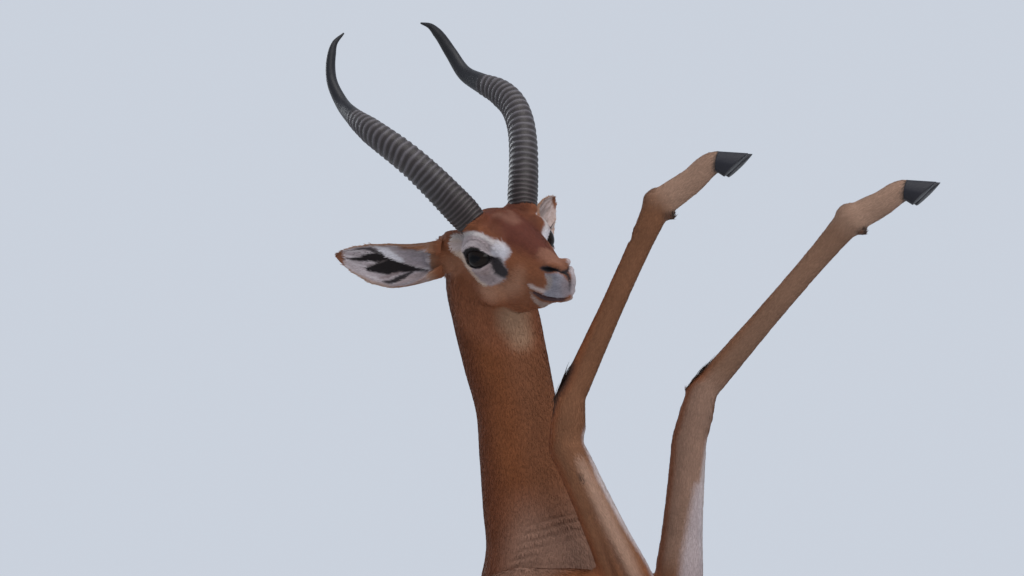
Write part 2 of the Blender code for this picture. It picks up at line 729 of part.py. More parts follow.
def horn_rows(side):
    """The horn's rows, with a swelling for each ring and a smooth tip."""
    first, last = HORN_RINGED
    ringed = first + (last - first) * np.linspace(0, 1, 2 * HORN_RINGS + 1) ** 1.35
    tip = np.linspace(last, 1, 10)[1:]
    where = np.concatenate([[0], ringed, tip])
    bend = np.clip((where - HORN_TIP_FROM) / (1 - HORN_TIP_FROM), 0, 1)[:, None] ** 1.5
    places = curve(HORN, where) + bend * np.array(HORN_TIP_SHIFT[side])
    taper = np.interp(where, *zip(*HORN_TAPER))
    swell = np.zeros(len(where))
    swell[2 : 2 * HORN_RINGS + 1 : 2] = HORN_RIDGE
    half = taper + swell - HORN_RIDGE / 2 * (where < last)
    return [(*place, h, h, h * HORN_FLATNESS, 0) for place, h in zip(places, half)]


def build_horn(name, side, skull):
    """One ringed, lyre-shaped horn, seated on the brow."""
    rows = horn_rows(side)
    share = np.linalg.norm(np.diff(np.array(rows)[:, :3], axis=0), axis=1)
    where = np.concatenate([[0], np.cumsum(share)]) / share.sum()
    shell = loft(rows, HORN_SIDES, where=where, bulge=0.5)
    if side < 0:
        shell = mirrored(shell)
    item = make_object(name, [moved(shell, HEAD)], HORN_MATTER)
    combine(item, [grown(skull, 0)], "DIFFERENCE")
    return keep_largest(item)


def ear_sheet(side):
    """The cupped leaf of the ear as a closed sheet, in the head's frame."""
    root = np.array(EAR_ROOT) * (1, side, 1)
    axis = unit(np.array(EAR_AXES[side]))
    face = np.array((0.86, side * 0.20, -0.10))
    face = unit(face - face.dot(axis) * axis)
    across = np.cross(axis, face) * side
    rows = [
        (0.00, 0.0220, 0.0130, 165),
        (0.15, 0.0228, 0.0170, 140),
        (0.32, 0.0245, 0.0170, 108),
        (0.50, 0.0262, 0.0140, 92),
        (0.68, 0.0235, 0.0105, 88),
        (0.84, 0.0165, 0.0075, 86),
        (0.95, 0.0085, 0.0055, 84),
        (1.00, 0.0030, 0.0036, 82),
    ]
    grid = np.array(rows)
    where = np.linspace(0, 1, 15)
    half, cup, spread = (np.interp(where, grid[:, 0], grid[:, k]) for k in (1, 2, 3))
    turns = np.linspace(-1, 1, 15)
    rings = []
    for t, w, c, p in zip(where, half, cup, np.radians(spread)):
        middle = root + axis * EAR_LENGTH * t + across * EAR_SAG * math.sin(math.pi * t)
        lift = face * c * (1 - 0.5 * t)
        outer = [middle + lift + across * w * math.sin(p * k) - face * c * math.cos(p * k) for k in turns]
        thin = EAR_THICK * (1 - 0.45 * t)
        inner = [
            middle + lift + across * (w - thin) * math.sin(p * k) - face * (c - thin) * math.cos(p * k)
            for k in reversed(turns)
        ]
        rings.append(outer + inner)
    return grid_sheet(np.array(rings))


def grid_sheet(rings):
    """A closed sheet from rings that run out along one face and back along the other."""
    count, around = rings.shape[:2]
    verts = [Vector(p) for p in rings.reshape(-1, 3)]
    faces = []
    for i in range(count - 1):
        for j in range(around):
            k = (j + 1) % around
            faces.append((i * around + j, i * around + k, (i + 1) * around + k, (i + 1) * around + j))
    for start in (0, (count - 1) * around):
        for j in range(around // 2 - 1):
            k = around - 1 - j
            faces.append((start + j, start + j + 1, start + k - 1, start + k))
    return verts, faces


def build_ear(name, side, skull):
    """One long cupped ear, trimmed to the side of the head."""
    root = limb([(-0.076, side * 0.036, -0.001, 0.018, 0.013), (-0.088, side * 0.051, 0.002, 0.020, 0.014),
                 (-0.098, side * 0.062, 0.006, 0.015, 0.010)], 12, 8)
    shells = [moved(ear_sheet(side), HEAD), moved(root, HEAD)]
    item = make_object(name, shells, EAR_COAT)
    fuse(item, 0.0012, 2, EAR_TRIANGLES)
    combine(item, [grown(skull, 0)], "DIFFERENCE")
    return keep_largest(item)


def build_toe(name, joints, side):
    """One of a foot's two hooves, from a flat sole up to its sloping top."""
    sole = HOOF_SOLE, -HOOF_HEIGHT
    top = joints["hoof_top"]
    angle = np.arange(16) * math.pi / 8
    c, s = np.cos(angle), np.sin(angle)
    rings = []
    for t, swell in ((0, 0.95), (0.12, 1.0), (0.5, 0.97), (1, 0.88)):
        front = np.array((sole[0][0], sole[1])) * (1 - t) + np.array(top[0]) * t
        back = np.array((sole[0][1], sole[1])) * (1 - t) + np.array(top[1]) * t
        spot = np.outer((1 + c) / 2, front) + np.outer((1 - c) / 2, back)
        width = TOE_HALF_WIDTH * swell * s * (1 - TOE_TAPER * np.maximum(c, 0))
        middle = side * TOE_OFFSET * (0.94 - 0.08 * t)
        rings.append(np.stack([spot[:, 0], middle + width, spot[:, 1]], axis=1))
    rings = np.array(rings)
    shell = grid_shell(rings, (rings[0].mean(0), rings[-1].mean(0)))
    return make_object(name, [moved(shell, foot_frame(joints))], HOOF_MATTER)


def lock(start, way, length, half, lift, sides=5, rings=4):
    """One flat tapered lock of hair that bends a little as it goes."""
    start, way, lift = Vector(start), Vector(way).normalized(), Vector(lift)
    rows = []
    for t in np.linspace(0, 1, rings):
        place = start + way * length * t + lift * t * t
        size = half * (1 - t) ** 0.7 + 0.0008
        rows.append((*place, size, size, size * 0.55, 0))
    return loft(rows, sides, rings, bulge=0.3)


def knee_brush(name, cannon, joints):
    """The dark brush of hair in front of the knee, joined to the top of the cannon."""
    carpus, fetlock = Vector(joints["carpus"]), Vector(joints["fetlock"])
    down = (fetlock - carpus).normalized()
    front = Vector((-down.z, 0, down.x)).normalized()
    locks = []
    for row in range(2):
        for y in (-0.0065, 0.0, 0.0065):
            place = carpus + down * (0.002 + 0.013 * row) + front * 0.011 + Vector((0, y, 0))
            way = down * 0.95 + front * 0.20 + Vector((0, y * 12, 0))
            shell = lock(place, way, 0.026 - 0.003 * row, 0.0066, down * 0.004)
            locks.append(cutter(name, [shell]))
    combine(cannon, locks, "UNION")
    return keep_largest(cannon)


def build_tail_tuft():
    """The black tuft of locks at the end of the tail."""
    top = TAIL_END
    core = [(*top, 0.0080, 0.0080), (*(top + Vector((0.002, 0.001, -0.030))), 0.0110, 0.0100),
            (*(top + Vector((0.004, 0.002, -0.090))), 0.0050, 0.0050)]
    item = make_object("tail_tuft", [limb(core, 10, 8)], DARK_HAIR)
    locks = []
    count = 9
    for k in range(count):
        turn = 2 * math.pi * k / count
        out = Vector((math.cos(turn), math.sin(turn), 0))
        start = top + out * 0.0045 - Vector((0, 0, 0.012 + 0.010 * (k % 3)))
        way = out * 0.16 - Vector((0, 0, 1))
        shell = lock(start, way, 0.085 + 0.012 * (k % 3), 0.0075, -out * 0.006)
        locks.append(cutter("lock", [shell]))
    combine(item, locks, "UNION")
    above = block(top + Vector((0, 0, 0.02 - GAP)), (0.06, 0.06, 0.040))
    combine(item, [cutter("top", [above])], "DIFFERENCE")
    return keep_largest(item)


def build_stand():
    """The flat stand under the hind hooves."""
    middle = (0, 0, BASE_THICK / 2)
    item = make_object("stand_base", [block(middle, (*BASE_SIZE, BASE_THICK))], BASE_WOOD)
    edge = item.modifiers.new("edge", "BEVEL")
    edge.width = 0.004
    edge.segments = 3
    edge.limit_method = "ANGLE"
    return item


def build():
    """Every sub-part in its place."""
    parts = build_body()
    for side, joints in FORE.items():
        knee_brush(side + "_brush", parts[side + "_fore_cannon"], joints)
    head, skull = build_head()
    for name, side in (("right", -1), ("left", 1)):
        build_eye(name + "_eye", side)
        build_horn(name + "_horn", side, skull)
        build_ear(name + "_ear", side, skull)
        for limb_name, joints in (("fore", FORE[name]), ("hind", HIND[name])):
            build_toe(f"{name}_{limb_name}_hoof_right", joints, -1)
            build_toe(f"{name}_{limb_name}_hoof_left", joints, 1)
    bpy.data.objects.remove(skull, do_unlink=True)
    build_tail_tuft()
    build_stand()


build()
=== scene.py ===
"""How the life-size gerenuk looks: skin, coat, horns, eyes, hooves, stand and light.

Metres, +Z up, in the frame of the solids, whose sizes are repeated here.
"""
import math

import bmesh
import bpy
import numpy as np
from mathutils import Matrix, Vector


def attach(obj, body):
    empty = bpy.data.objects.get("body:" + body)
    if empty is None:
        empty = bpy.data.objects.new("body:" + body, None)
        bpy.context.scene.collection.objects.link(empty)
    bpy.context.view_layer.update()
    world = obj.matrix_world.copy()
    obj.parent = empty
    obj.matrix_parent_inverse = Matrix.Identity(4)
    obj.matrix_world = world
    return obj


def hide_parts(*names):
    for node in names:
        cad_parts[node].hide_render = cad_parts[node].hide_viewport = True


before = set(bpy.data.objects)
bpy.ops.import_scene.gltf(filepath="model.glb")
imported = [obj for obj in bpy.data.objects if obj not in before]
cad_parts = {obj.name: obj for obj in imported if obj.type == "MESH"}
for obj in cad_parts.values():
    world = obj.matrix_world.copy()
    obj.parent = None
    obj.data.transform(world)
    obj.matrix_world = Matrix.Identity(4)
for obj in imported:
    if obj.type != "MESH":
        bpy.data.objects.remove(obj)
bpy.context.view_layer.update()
RNG = np.random.default_rng(11)

# Sizes shared with the solids
BASE_THICK = 0.022
GAP = 0.0003
EYE_RADIUS = 0.0185
EYE_AT = (-0.0125, 0.0375, -0.0037)
LID_THICK = 0.0032
EAR_LENGTH = 0.13
EAR_THICK = 0.0032
EAR_SAG = 0.01
EAR_ROOT = (-0.084, 0.046, 0.001)
EAR_AXES = {-1: (-0.62, -0.72, 0.205), 1: (-0.57, 0.78, 0.17)}
HORN_RINGS = 32
HORN_RINGED = 0.66
HORN_RIDGE = 0.0018
HOOF_HEIGHT = 0.024
HOOF_SOLE = (0.028, -0.011)
TOE_OFFSET = 0.0108
TOE_HALF_WIDTH = 0.0094
FORE_DEWCLAWS = (0.014, 0, -0.013)
HIND_DEWCLAWS = (-0.019, 0, -0.004)
HEAD = (
    Matrix.Translation((0.0245, -0.075, 1.807))
    @ Matrix.Rotation(math.radians(-46), 4, "Z")
    @ Matrix.Rotation(math.radians(15), 4, "X")
)
FORE_JOINTS = ("shoulder", "elbow", "wrist", "carpus", "fetlock", "coronet")
HIND_JOINTS = ("hip", "knee", "hock", "fetlock", "coronet")
STANDING = BASE_THICK + GAP + HOOF_HEIGHT


def leg(names, pitch, top, *places):
    """A leg's joints by name, with its hoof's pitch and the front and back of the hoof's top."""
    return {**dict(zip(names, places)), "hoof_pitch": pitch, "hoof_top": top}


FORE_HOOF = (43, ((0.004, 0.002), (-0.014, -0.013)))
HIND_HOOF = (0, ((0.011, 0.003), (-0.015, -0.01)))
FORE = {
    "right": leg(FORE_JOINTS, *FORE_HOOF, (0.015, -0.074, 1.385), (0.1785, -0.094, 1.392),
                 (0.0911, -0.091, 1.5748), (0.0957, -0.09, 1.6284), (0.2025, -0.098, 1.8503),
                 (0.2765, -0.103, 1.906)),
    "left": leg(FORE_JOINTS, *FORE_HOOF, (0.015, 0.074, 1.385), (0.1735, 0.09, 1.39), (0.19, 0.086, 1.583),
                (0.206, 0.085, 1.64), (0.3825, 0.088, 1.838), (0.451, 0.09, 1.8795)),
}
HIND = {
    "right": leg(HIND_JOINTS, *HIND_HOOF, (-0.128, -0.05, 0.85), (-0.03, -0.074, 0.63), (-0.104, -0.07, 0.35),
                 (-0.078, -0.072, 0.086), (-0.04, -0.073, STANDING)),
    "left": leg(HIND_JOINTS, *HIND_HOOF, (-0.128, 0.05, 0.85), (0.004, 0.078, 0.64), (-0.042, 0.074, 0.355),
                (-0.006, 0.075, 0.086), (0.034, 0.076, STANDING)),
}
# Rows of x, y, z, reach to the front, reach to the back, half width, turn
TRUNK = [
    (-0.19, 0, 0.73, 0.035, 0.035, 0.036, 0),
    (-0.172, 0, 0.765, 0.082, 0.068, 0.066, 0),
    (-0.14, 0, 0.84, 0.112, 0.098, 0.084, 0),
    (-0.104, 0, 0.93, 0.092, 0.102, 0.07, 0),
    (-0.07, 0, 1.03, 0.11, 0.107, 0.082, 0),
    (-0.034, 0, 1.13, 0.136, 0.116, 0.099, 0),
    (0.004, 0, 1.23, 0.154, 0.124, 0.1, 0),
    (0.026, 0, 1.31, 0.146, 0.116, 0.091, 0),
    (0.036, 0, 1.375, 0.116, 0.094, 0.078, 0),
    (0.038, 0, 1.43, 0.066, 0.062, 0.046, 0),
]
NECK = [
    (0.034, 0.0, 1.35, 0.098, 0.092, 0.066, 0),
    (0.036, 0.0, 1.42, 0.08, 0.075, 0.056, 0),
    (0.032, 0.0, 1.461, 0.066, 0.064, 0.047, 0),
    (0.022, 0.0, 1.513, 0.057, 0.058, 0.043, -3),
    (0.013, 0.0, 1.567, 0.053, 0.053, 0.041, -6),
    (0.004, 0.0, 1.625, 0.05, 0.049, 0.041, -10),
    (-0.01, 0.0, 1.68, 0.0545, 0.051, 0.043, -18),
    (-0.022, 0.001, 1.73, 0.056, 0.053, 0.046, -30),
    (-0.036, 0.002, 1.775, 0.049, 0.048, 0.044, -42),
    (-0.046, 0.0, 1.812, 0.03, 0.034, 0.034, -46),
]
SKULL = [
    (0.112, 0, -0.0475, 0.004, 0.005, 0.0062, 0),
    (0.1088, 0, -0.0465, 0.0095, 0.013, 0.011, 0),
    (0.099, 0, -0.0455, 0.016, 0.0225, 0.015, 0),
    (0.086, 0, -0.043, 0.022, 0.0285, 0.0175, 0),
    (0.07, 0, -0.039, 0.027, 0.0335, 0.0202, 0),
    (0.05, 0, -0.032, 0.031, 0.049, 0.0258, 0),
    (0.03, 0, -0.023, 0.035, 0.062, 0.0325, 0),
    (0.008, 0, -0.014, 0.04, 0.071, 0.0372, 0),
    (-0.018, 0, -0.006, 0.0475, 0.073, 0.04, 0),
    (-0.045, 0, -0.004, 0.0495, 0.065, 0.0415, 0),
    (-0.072, 0, -0.004, 0.045, 0.058, 0.0395, 0),
    (-0.096, 0, -0.002, 0.033, 0.045, 0.0325, 0),
    (-0.112, 0, 0.0, 0.014, 0.022, 0.018, 0),
]
HORN = [
    (-0.0235, 0.0318, 0.029), (-0.027, 0.0374, 0.043), (-0.0365, 0.0519, 0.073),
    (-0.0485, 0.0661, 0.102), (-0.066, 0.0789, 0.1285), (-0.091, 0.0878, 0.1503),
    (-0.1205, 0.0897, 0.1665), (-0.152, 0.0865, 0.1795), (-0.1805, 0.0824, 0.196),
    (-0.1965, 0.0795, 0.224), (-0.1985, 0.0703, 0.25), (-0.198, 0.0628, 0.2615),
    (-0.1944, 0.0493, 0.2697),
]
HORN_TAPER = [
    (0.0, 0.016), (0.03, 0.0206), (0.07, 0.0214), (0.2, 0.0204), (0.4, 0.0183), (0.52, 0.0165),
    (0.58, 0.0142), (0.64, 0.0122), (0.7, 0.0103), (0.8, 0.0082), (0.92, 0.0056), (1.0, 0.001),
]
HORN_FLATNESS = 0.82
HORN_TIP_FROM = 0.55
HORN_TIP_SHIFT = {-1: (0, 0.0036, 0.005), 1: (0, -0.0005, -0.007)}
TAIL = [
    (-0.205, 0.0, 0.8, 0.03, 0.026, 0.026, 0),
    (-0.244, 0.0, 0.765, 0.019, 0.019, 0.017, 0),
    (-0.262, 0.002, 0.7, 0.013, 0.013, 0.011, 0),
    (-0.262, 0.006, 0.62, 0.01, 0.01, 0.009, 0),
    (-0.256, 0.01, 0.545, 0.009, 0.009, 0.008, 0),
    (-0.252, 0.013, 0.5, 0.007, 0.007, 0.007, 0),
]
TAIL_END = np.array((-0.2525, 0.0125, 0.506))
MOUTH_LINE = [
    (0.059, 0.0208, -0.0523), (0.0672, 0.0192, -0.0566), (0.0791, 0.016, -0.0612),
    (0.0946, 0.011, -0.0645), (0.1055, 0.0, -0.066),
]

# The ways right, up and near of a drawing of the head from its right front
DRAWN = np.array([(0.4695, 0.8529, -0.2285), (0.0308, 0.2428, 0.9696), (0.8824, -0.4622, 0.0877)])

# Lines on one side of the face, in the head's frame
BLAZE = [(-0.075, 0, 0.04), (-0.045, 0, 0.047), (-0.005, 0, 0.04), (0.017, 0, 0.026), (0.045, 0, 0.008),
         (0.069, 0, -0.009), (0.095, 0, -0.024)]
PHILTRUM = [(0.1077, 0, -0.0349), (0.11, 0, -0.038), (0.112, 0, -0.0463), (0.1066, 0, -0.0566)]

# Outlines and lines on the drawing, in millimetres
EYE_FIELD = [
    (-62.4, 8.0), (-59.5, 12.6), (-54.8, 15.5), (-49.1, 16.7), (-42.1, 15.5), (-36.4, 13.2),
    (-30.6, 9.2), (-23.7, 6.3), (-16.7, 4.0), (-9.8, 1.1), (-5.2, -3.5), (-2.9, -9.3),
    (-5.2, -15.1), (-9.8, -19.1), (-11.0, -22.0), (-6.4, -30.1), (-8.7, -39.3), (-15.6, -44.5),
    (-24.8, -47.4), (-32.9, -46.8), (-39.8, -42.2), (-45.6, -35.3), (-52.5, -27.2),
    (-58.3, -18.5), (-61.8, -9.3), (-63.5, -0.1)]
REAR_RIM = [(-61.2, 8.0), (-62.6, 1.1), (-61.8, -7.0), (-59.0, -15.1), (-55.0, -22.0), (-50.0, -28.9),
            (-44.3, -36.4), (-38.5, -43.0), (-31.8, -46.4)]
BROW_BAND = [(-60.6, 8.0), (-56.0, 12.2), (-50.2, 13.4), (-43.3, 12.4), (-37.5, 9.9), (-30.6, 5.9),
             (-23.7, 2.4), (-16.7, 0.1)]
BROW_SPOT = [(-23.7, -2.4), (-19.1, 1.7), (-12.1, 0.5), (-6.4, -3.5), (-4.6, -9.3), (-7.5, -15.1),
             (-11.5, -20.3), (-14.4, -16.2), (-19.1, -12.8), (-23.7, -10.5)]
LID_BAND = [(-58.3, -3.5), (-53.7, 0.5), (-46.8, 1.7), (-39.8, -0.6), (-32.9, -5.3), (-26.0, -9.3)]
LID_LINES = [
    [(-58.9, -2.4), (-55.4, 2.8), (-50.2, 5.4), (-43.3, 5.0), (-36.4, 2.2), (-30.6, -2.4)],
    [(-47.0, 9.5), (-40.0, 7.5), (-33.0, 3.5), (-26.0, -1.5)],
    [(-44.0, 1.0), (-38.0, -2.0), (-32.0, -6.5)],
]
BELOW_EYE = [
    (-51.4, -28.4), (-44.5, -29.5), (-37.5, -28.9), (-31.8, -24.3), (-28.9, -19.1),
    (-27.1, -26.6), (-23.7, -34.7), (-17.9, -39.9), (-20.2, -44.5), (-30.6, -44.5),
    (-38.7, -40.5), (-45.6, -34.1)]
EYE_DARK = [
    (-58.8, -8.7), (-56.0, -5.4), (-51.4, -3.8), (-45.6, -3.1), (-39.8, -4.5), (-35.2, -7.3),
    (-30.6, -10.5), (-26.0, -12.8), (-21.4, -13.9), (-16.7, -16.2), (-19.1, -18.5),
    (-24.8, -17.6), (-28.9, -18.0), (-31.2, -21.4), (-34.6, -24.9), (-39.3, -27.6),
    (-44.5, -28.2), (-49.1, -26.6), (-52.5, -23.2), (-55.7, -18.5), (-58.0, -13.9)]
GLAND = [
    (-27.1, -16.2), (-22.5, -14.2), (-17.9, -14.8), (-14.4, -18.5), (-12.1, -23.2),
    (-8.7, -27.8), (-5.5, -32.4), (-6.9, -37.6), (-12.1, -38.8), (-17.9, -37.0), (-22.5, -33.0),
    (-26.0, -26.6), (-27.6, -20.9)]
NOSTRIL_LINE = [(32.9, -26.9), (38.7, -27.8), (44.5, -28.7), (50.2, -29.3), (56.0, -30.7), (60.6, -33.6)]
NOSTRIL_HOLE = [
    (29.8, -26.9), (32.3, -24.8), (37.5, -24.3), (43.3, -25.7), (49.1, -26.9), (53.7, -27.6),
    (58.3, -28.7), (61.8, -31.2), (63.9, -35.3), (64.4, -40.5), (63.6, -47.4), (62.0, -41.6),
    (60.2, -37.6), (56.6, -33.8), (51.4, -31.5), (45.0, -31.2), (39.3, -32.2), (34.6, -30.8),
    (31.8, -28.9)]
NOSTRIL_CORE = [
    (31.2, -26.9), (35.2, -25.2), (41.0, -25.8), (46.8, -27.3), (52.5, -28.7), (52.5, -30.1),
    (45.6, -30.4), (39.3, -31.2), (34.6, -29.9)]
LIP_FIELD = [
    (35.8, -33.0), (42.1, -33.6), (50.2, -32.4), (56.0, -35.3), (60.6, -40.5), (64.9, -46.3),
    (65.5, -52.0), (63.2, -57.2), (57.2, -61.8), (49.1, -62.4), (41.0, -61.3), (34.1, -57.8),
    (37.5, -52.0), (39.3, -45.1), (37.5, -38.2)]
LIP_PALE = [
    (37.0, -34.1), (43.3, -35.9), (44.5, -41.6), (43.3, -48.6), (39.8, -53.2), (35.8, -50.9),
    (38.1, -43.9), (36.4, -38.2)]
LIP_WHITE = [(19.6, -47.4), (24.2, -49.7), (29.4, -52.0), (36.4, -54.3), (42.1, -56.7)]
# Painted highlight: the rim of light along the front of the muzzle and lip, painted on the left side only
LIT_MUZZLE_RIM = [(62.5, -18.5), (66.0, -26.6), (68.0, -35.9), (68.0, -47.4), (66.4, -56.7), (61.8, -62.4)]
MOUTH_DARK = [
    (20.2, -53.6), (24.8, -54.7), (29.4, -57.2), (35.2, -59.9), (41.0, -61.0), (47.9, -61.6),
    (54.8, -62.0), (60.3, -61.7), (56.8, -64.0), (47.9, -64.7), (41.0, -64.7), (35.2, -63.8),
    (29.4, -61.0), (24.8, -57.8)]
CHIN = [
    (19.6, -53.2), (22.5, -58.4), (27.1, -62.8), (32.9, -65.3), (41.0, -66.4), (49.1, -66.6),
    (56.0, -65.4), (62.3, -61.4), (64.6, -66.2), (56.8, -72.8), (43.3, -73.4), (32.9, -71.8),
    (24.8, -66.3), (20.8, -59.5)]

# Colours of the coat, linear
RUFOUS = (0.172, 0.056, 0.021)
DEEP_RUFOUS = (0.105, 0.03, 0.013)
TAN = (0.16, 0.07, 0.036)
PINK_TAN = (0.24, 0.136, 0.098)
INNER_TAN = (0.24, 0.148, 0.11)
CHEEK = (0.2, 0.071, 0.034)
CHEEK_LOW = (0.34, 0.17, 0.105)
# The forehead's darker coat, made darker still by painted shade
SHADED_FOREHEAD = (0.108, 0.034, 0.017)
BRIDGE = (0.088, 0.024, 0.016)
CREAM = (0.38, 0.24, 0.155)
WHITE = (0.53, 0.51, 0.55)
GREY = (0.22, 0.212, 0.245)
DARK = (0.012, 0.009, 0.01)
SADDLE = (0.095, 0.034, 0.017)

# Strokes on the face: line, widths along it, softness of the edge, strength, tint
FACE_STROKES = [
    ([(-0.02, 0.04, -0.046), (0.01, 0.033, -0.048), (0.035, 0.026, -0.042), (0.048, 0.024, -0.03)],
     (0.014, 0.012, 0.01, 0.006), 0.012, 0.9, CHEEK_LOW),
    # The forehead and the face's midline in the forehead's tint, which holds painted shade
    (BLAZE, (0.05, 0.046, 0.038, 0.036, 0.026, 0.017, 0.008), 0.01, 1.0, SHADED_FOREHEAD),
    ([(0.01, 0, 0.03), (0.03, 0, 0.016), (0.055, 0, 0.0), (0.075, 0, -0.014)],
     (0.016, 0.026, 0.018, 0.008), 0.009, 0.85, BRIDGE),
    ([(-0.004, 0.014, 0.04), (-0.02, 0.012, 0.046)], (0.01, 0.012), 0.008, 0.5, BRIDGE),
    ([(-0.006, 0.008, 0.0375), (0.016, 0.0, 0.0265)], (0.004, 0.006), 0.006, 0.5, (0.23, 0.115, 0.08)),
    ([(0.078, 0, -0.012), (0.096, 0, -0.022), (0.108, 0, -0.03)], (0.012, 0.013, 0.008), 0.006, 0.7,
     (0.225, 0.105, 0.068)),
    ([(-0.082, 0.047, -0.012), (-0.064, 0.047, -0.008)], (0.012, 0.009), 0.01, 0.6, CHEEK_LOW),
]
# Areas on the drawing, under and over its lines: outline, softness in millimetres, strength, tint
EYE_AREAS = [
    (EYE_FIELD, 1.6, 1.0, (0.37, 0.305, 0.31)),
    (BELOW_EYE, 2.5, 0.7, (0.27, 0.205, 0.205)),
]
FACE_AREAS = [
    (BROW_SPOT, 4.0, 0.95, WHITE),
    (EYE_DARK, 0.8, 1.0, DARK),
    (GLAND, 2.0, 0.95, (0.015, 0.012, 0.015)),
    (LIP_FIELD, 1.6, 0.95, GREY),
    (LIP_PALE, 2.0, 0.7, (0.29, 0.235, 0.21)),
    (CHIN, 1.2, 0.9, (0.3, 0.225, 0.195)),
    (NOSTRIL_HOLE, 0.9, 0.92, (0.03, 0.028, 0.034)),
    (NOSTRIL_CORE, 0.8, 0.95, (0.006, 0.005, 0.006)),
    (MOUTH_DARK, 0.7, 0.9, (0.045, 0.028, 0.033)),
]
# Lines on the drawing: line, half width and softness in millimetres, strength, tint
FACE_LINES = [
    (REAR_RIM, 1.6, 1.2, 0.85, (0.5, 0.38, 0.3)),
    (BROW_BAND, 2.4, 1.8, 0.75, (0.52, 0.48, 0.47)),
    (LID_BAND, 2.6, 1.8, 0.7, (0.5, 0.43, 0.44)),
    # Painted shade: dark lines in the creases of the upper lid
    (LID_LINES[0], 0.5, 0.7, 0.55, (0.12, 0.098, 0.1)),
    (LID_LINES[1], 0.3, 0.6, 0.4, (0.12, 0.098, 0.1)),
    (LIP_WHITE, 2.2, 1.8, 0.85, (0.43, 0.35, 0.33)),
]
# Streaks inside the ear: places along and across it with half widths, strength and tint
EAR_STREAKS = [
    ([(0.41, 0.42, 0.044), (0.32, 0.29, 0.053), (0.21, 0.06, 0.05)], 0.6, (0.3, 0.255, 0.28)),
    ([(0.62, 0.85, 0.016), (0.54, 0.6, 0.036), (0.47, 0.36, 0.03), (0.39, 0.15, 0.016)],
     0.9, (0.64, 0.62, 0.66)),
    ([(0.42, -0.76, 0.018), (0.32, -0.66, 0.031), (0.2, -0.65, 0.031)], 0.7, (0.34, 0.265, 0.26)),
    ([(0.93, -0.93, 0.012), (0.8, -0.88, 0.013), (0.66, -0.92, 0.014), (0.52, -0.95, 0.014)],
     0.7, (0.33, 0.225, 0.18)),
    ([(0.71, -0.36, 0.02), (0.65, -0.26, 0.047), (0.58, -0.15, 0.069), (0.51, -0.13, 0.066),
      (0.43, -0.14, 0.043), (0.34, -0.22, 0.026), (0.24, -0.36, 0.012), (0.15, -0.53, 0.004)], 1.0, DARK),
    ([(0.92, -0.11, 0.006), (0.84, 0.04, 0.018), (0.77, 0.13, 0.026), (0.7, 0.26, 0.04),
      (0.62, 0.29, 0.044), (0.55, 0.19, 0.031), (0.48, 0.05, 0.026)], 1.0, DARK),
    ([(0.91, 0.72, 0.004), (0.83, 0.71, 0.007), (0.76, 0.79, 0.012), (0.69, 0.73, 0.02),
      (0.62, 0.56, 0.022), (0.56, 0.33, 0.018)], 0.85, DARK),
    ([(0.57, -0.77, 0.006), (0.51, -0.78, 0.019), (0.43, -0.65, 0.024), (0.36, -0.51, 0.017),
      (0.3, -0.4, 0.008)], 0.95, DARK),
    ([(0.62, -0.68, 0.005), (0.55, -0.59, 0.013), (0.48, -0.45, 0.013), (0.4, -0.36, 0.006)],
     0.9, (0.24, 0.185, 0.19)),
    ([(0.72, -0.22, 0.01), (0.63, 0.01, 0.005), (0.54, 0.19, 0.004)], 0.7, (0.15, 0.12, 0.122)),
]
EAR_ASPECT = 0.2
FAR_EAR_STRENGTH = 0.35

# Balls on each side of the head: middle and half sizes, then the lips' rows of x, y, z and radius
HEAD_BULGES = [
    ((-0.015, 0.026, 0.008), (0.04, 0.025, 0.023)),
    ((-0.034, 0.021, -0.04), (0.042, 0.017, 0.028)),
    ((-0.026, 0.033, 0.036), (0.023, 0.019, 0.014)),
    ((-0.084, 0.036, 0.0), (0.02, 0.018, 0.02)),
    ((-0.074, 0.038, 0.013), (0.028, 0.017, 0.017)),
    ((-0.028, 0.037, -0.003), (0.019, 0.019, 0.022)),
    ((0.097, 0.0085, -0.0345), (0.0125, 0.0068, 0.0065)),
    ((0.0925, 0.0075, -0.0262), (0.0165, 0.0068, 0.0058)),
]
LIPS = [
    [(0.052, 0.013, -0.048, 0.009), (0.075, 0.0105, -0.0555, 0.0085), (0.096, 0.006, -0.059, 0.0075)],
    [(0.056, 0.008, -0.059, 0.009), (0.074, 0.0065, -0.062, 0.008), (0.09, 0.0045, -0.0645, 0.007)],
]
# Rows along the ear: share, half width, cup's depth, half spread in degrees
EAR_ROWS = np.array([
    (0.0, 0.022, 0.013, 165), (0.15, 0.0228, 0.017, 140), (0.32, 0.0245, 0.017, 108),
    (0.5, 0.0262, 0.014, 92), (0.68, 0.0235, 0.0105, 88), (0.84, 0.0165, 0.0075, 86),
    (0.95, 0.0085, 0.0055, 84), (1.0, 0.003, 0.0036, 82),
])

# Sizes of the melting grids, the depth of the coat on face, ears, lower legs and body
BODY_VOXEL = 0.003
EAR_VOXEL = 0.0011
FACE_DEPTH, EAR_DEPTH, LEG_DEPTH, BODY_DEPTH = 0.0005, 0.0001, 0.0008, 0.0013
# Tufts in each piece of the coat: chain, left half or not, count, slot
COAT_PLAN = [("head", None, 40000, "coat"), ("neck", None, 44000, "coat"), ("tail", None, 3500, "coat"),
             ("trunk", False, 42000, "coat"), ("trunk", True, 42000, "coat")]
for hand in ("right", "left"):
    COAT_PLAN += [(hand + "_ear", None, 8000, "ear_coat"), (hand + "_fore", None, 31000, "leg_coat"),
                  (hand + "_hind", None, 36000, "coat")]
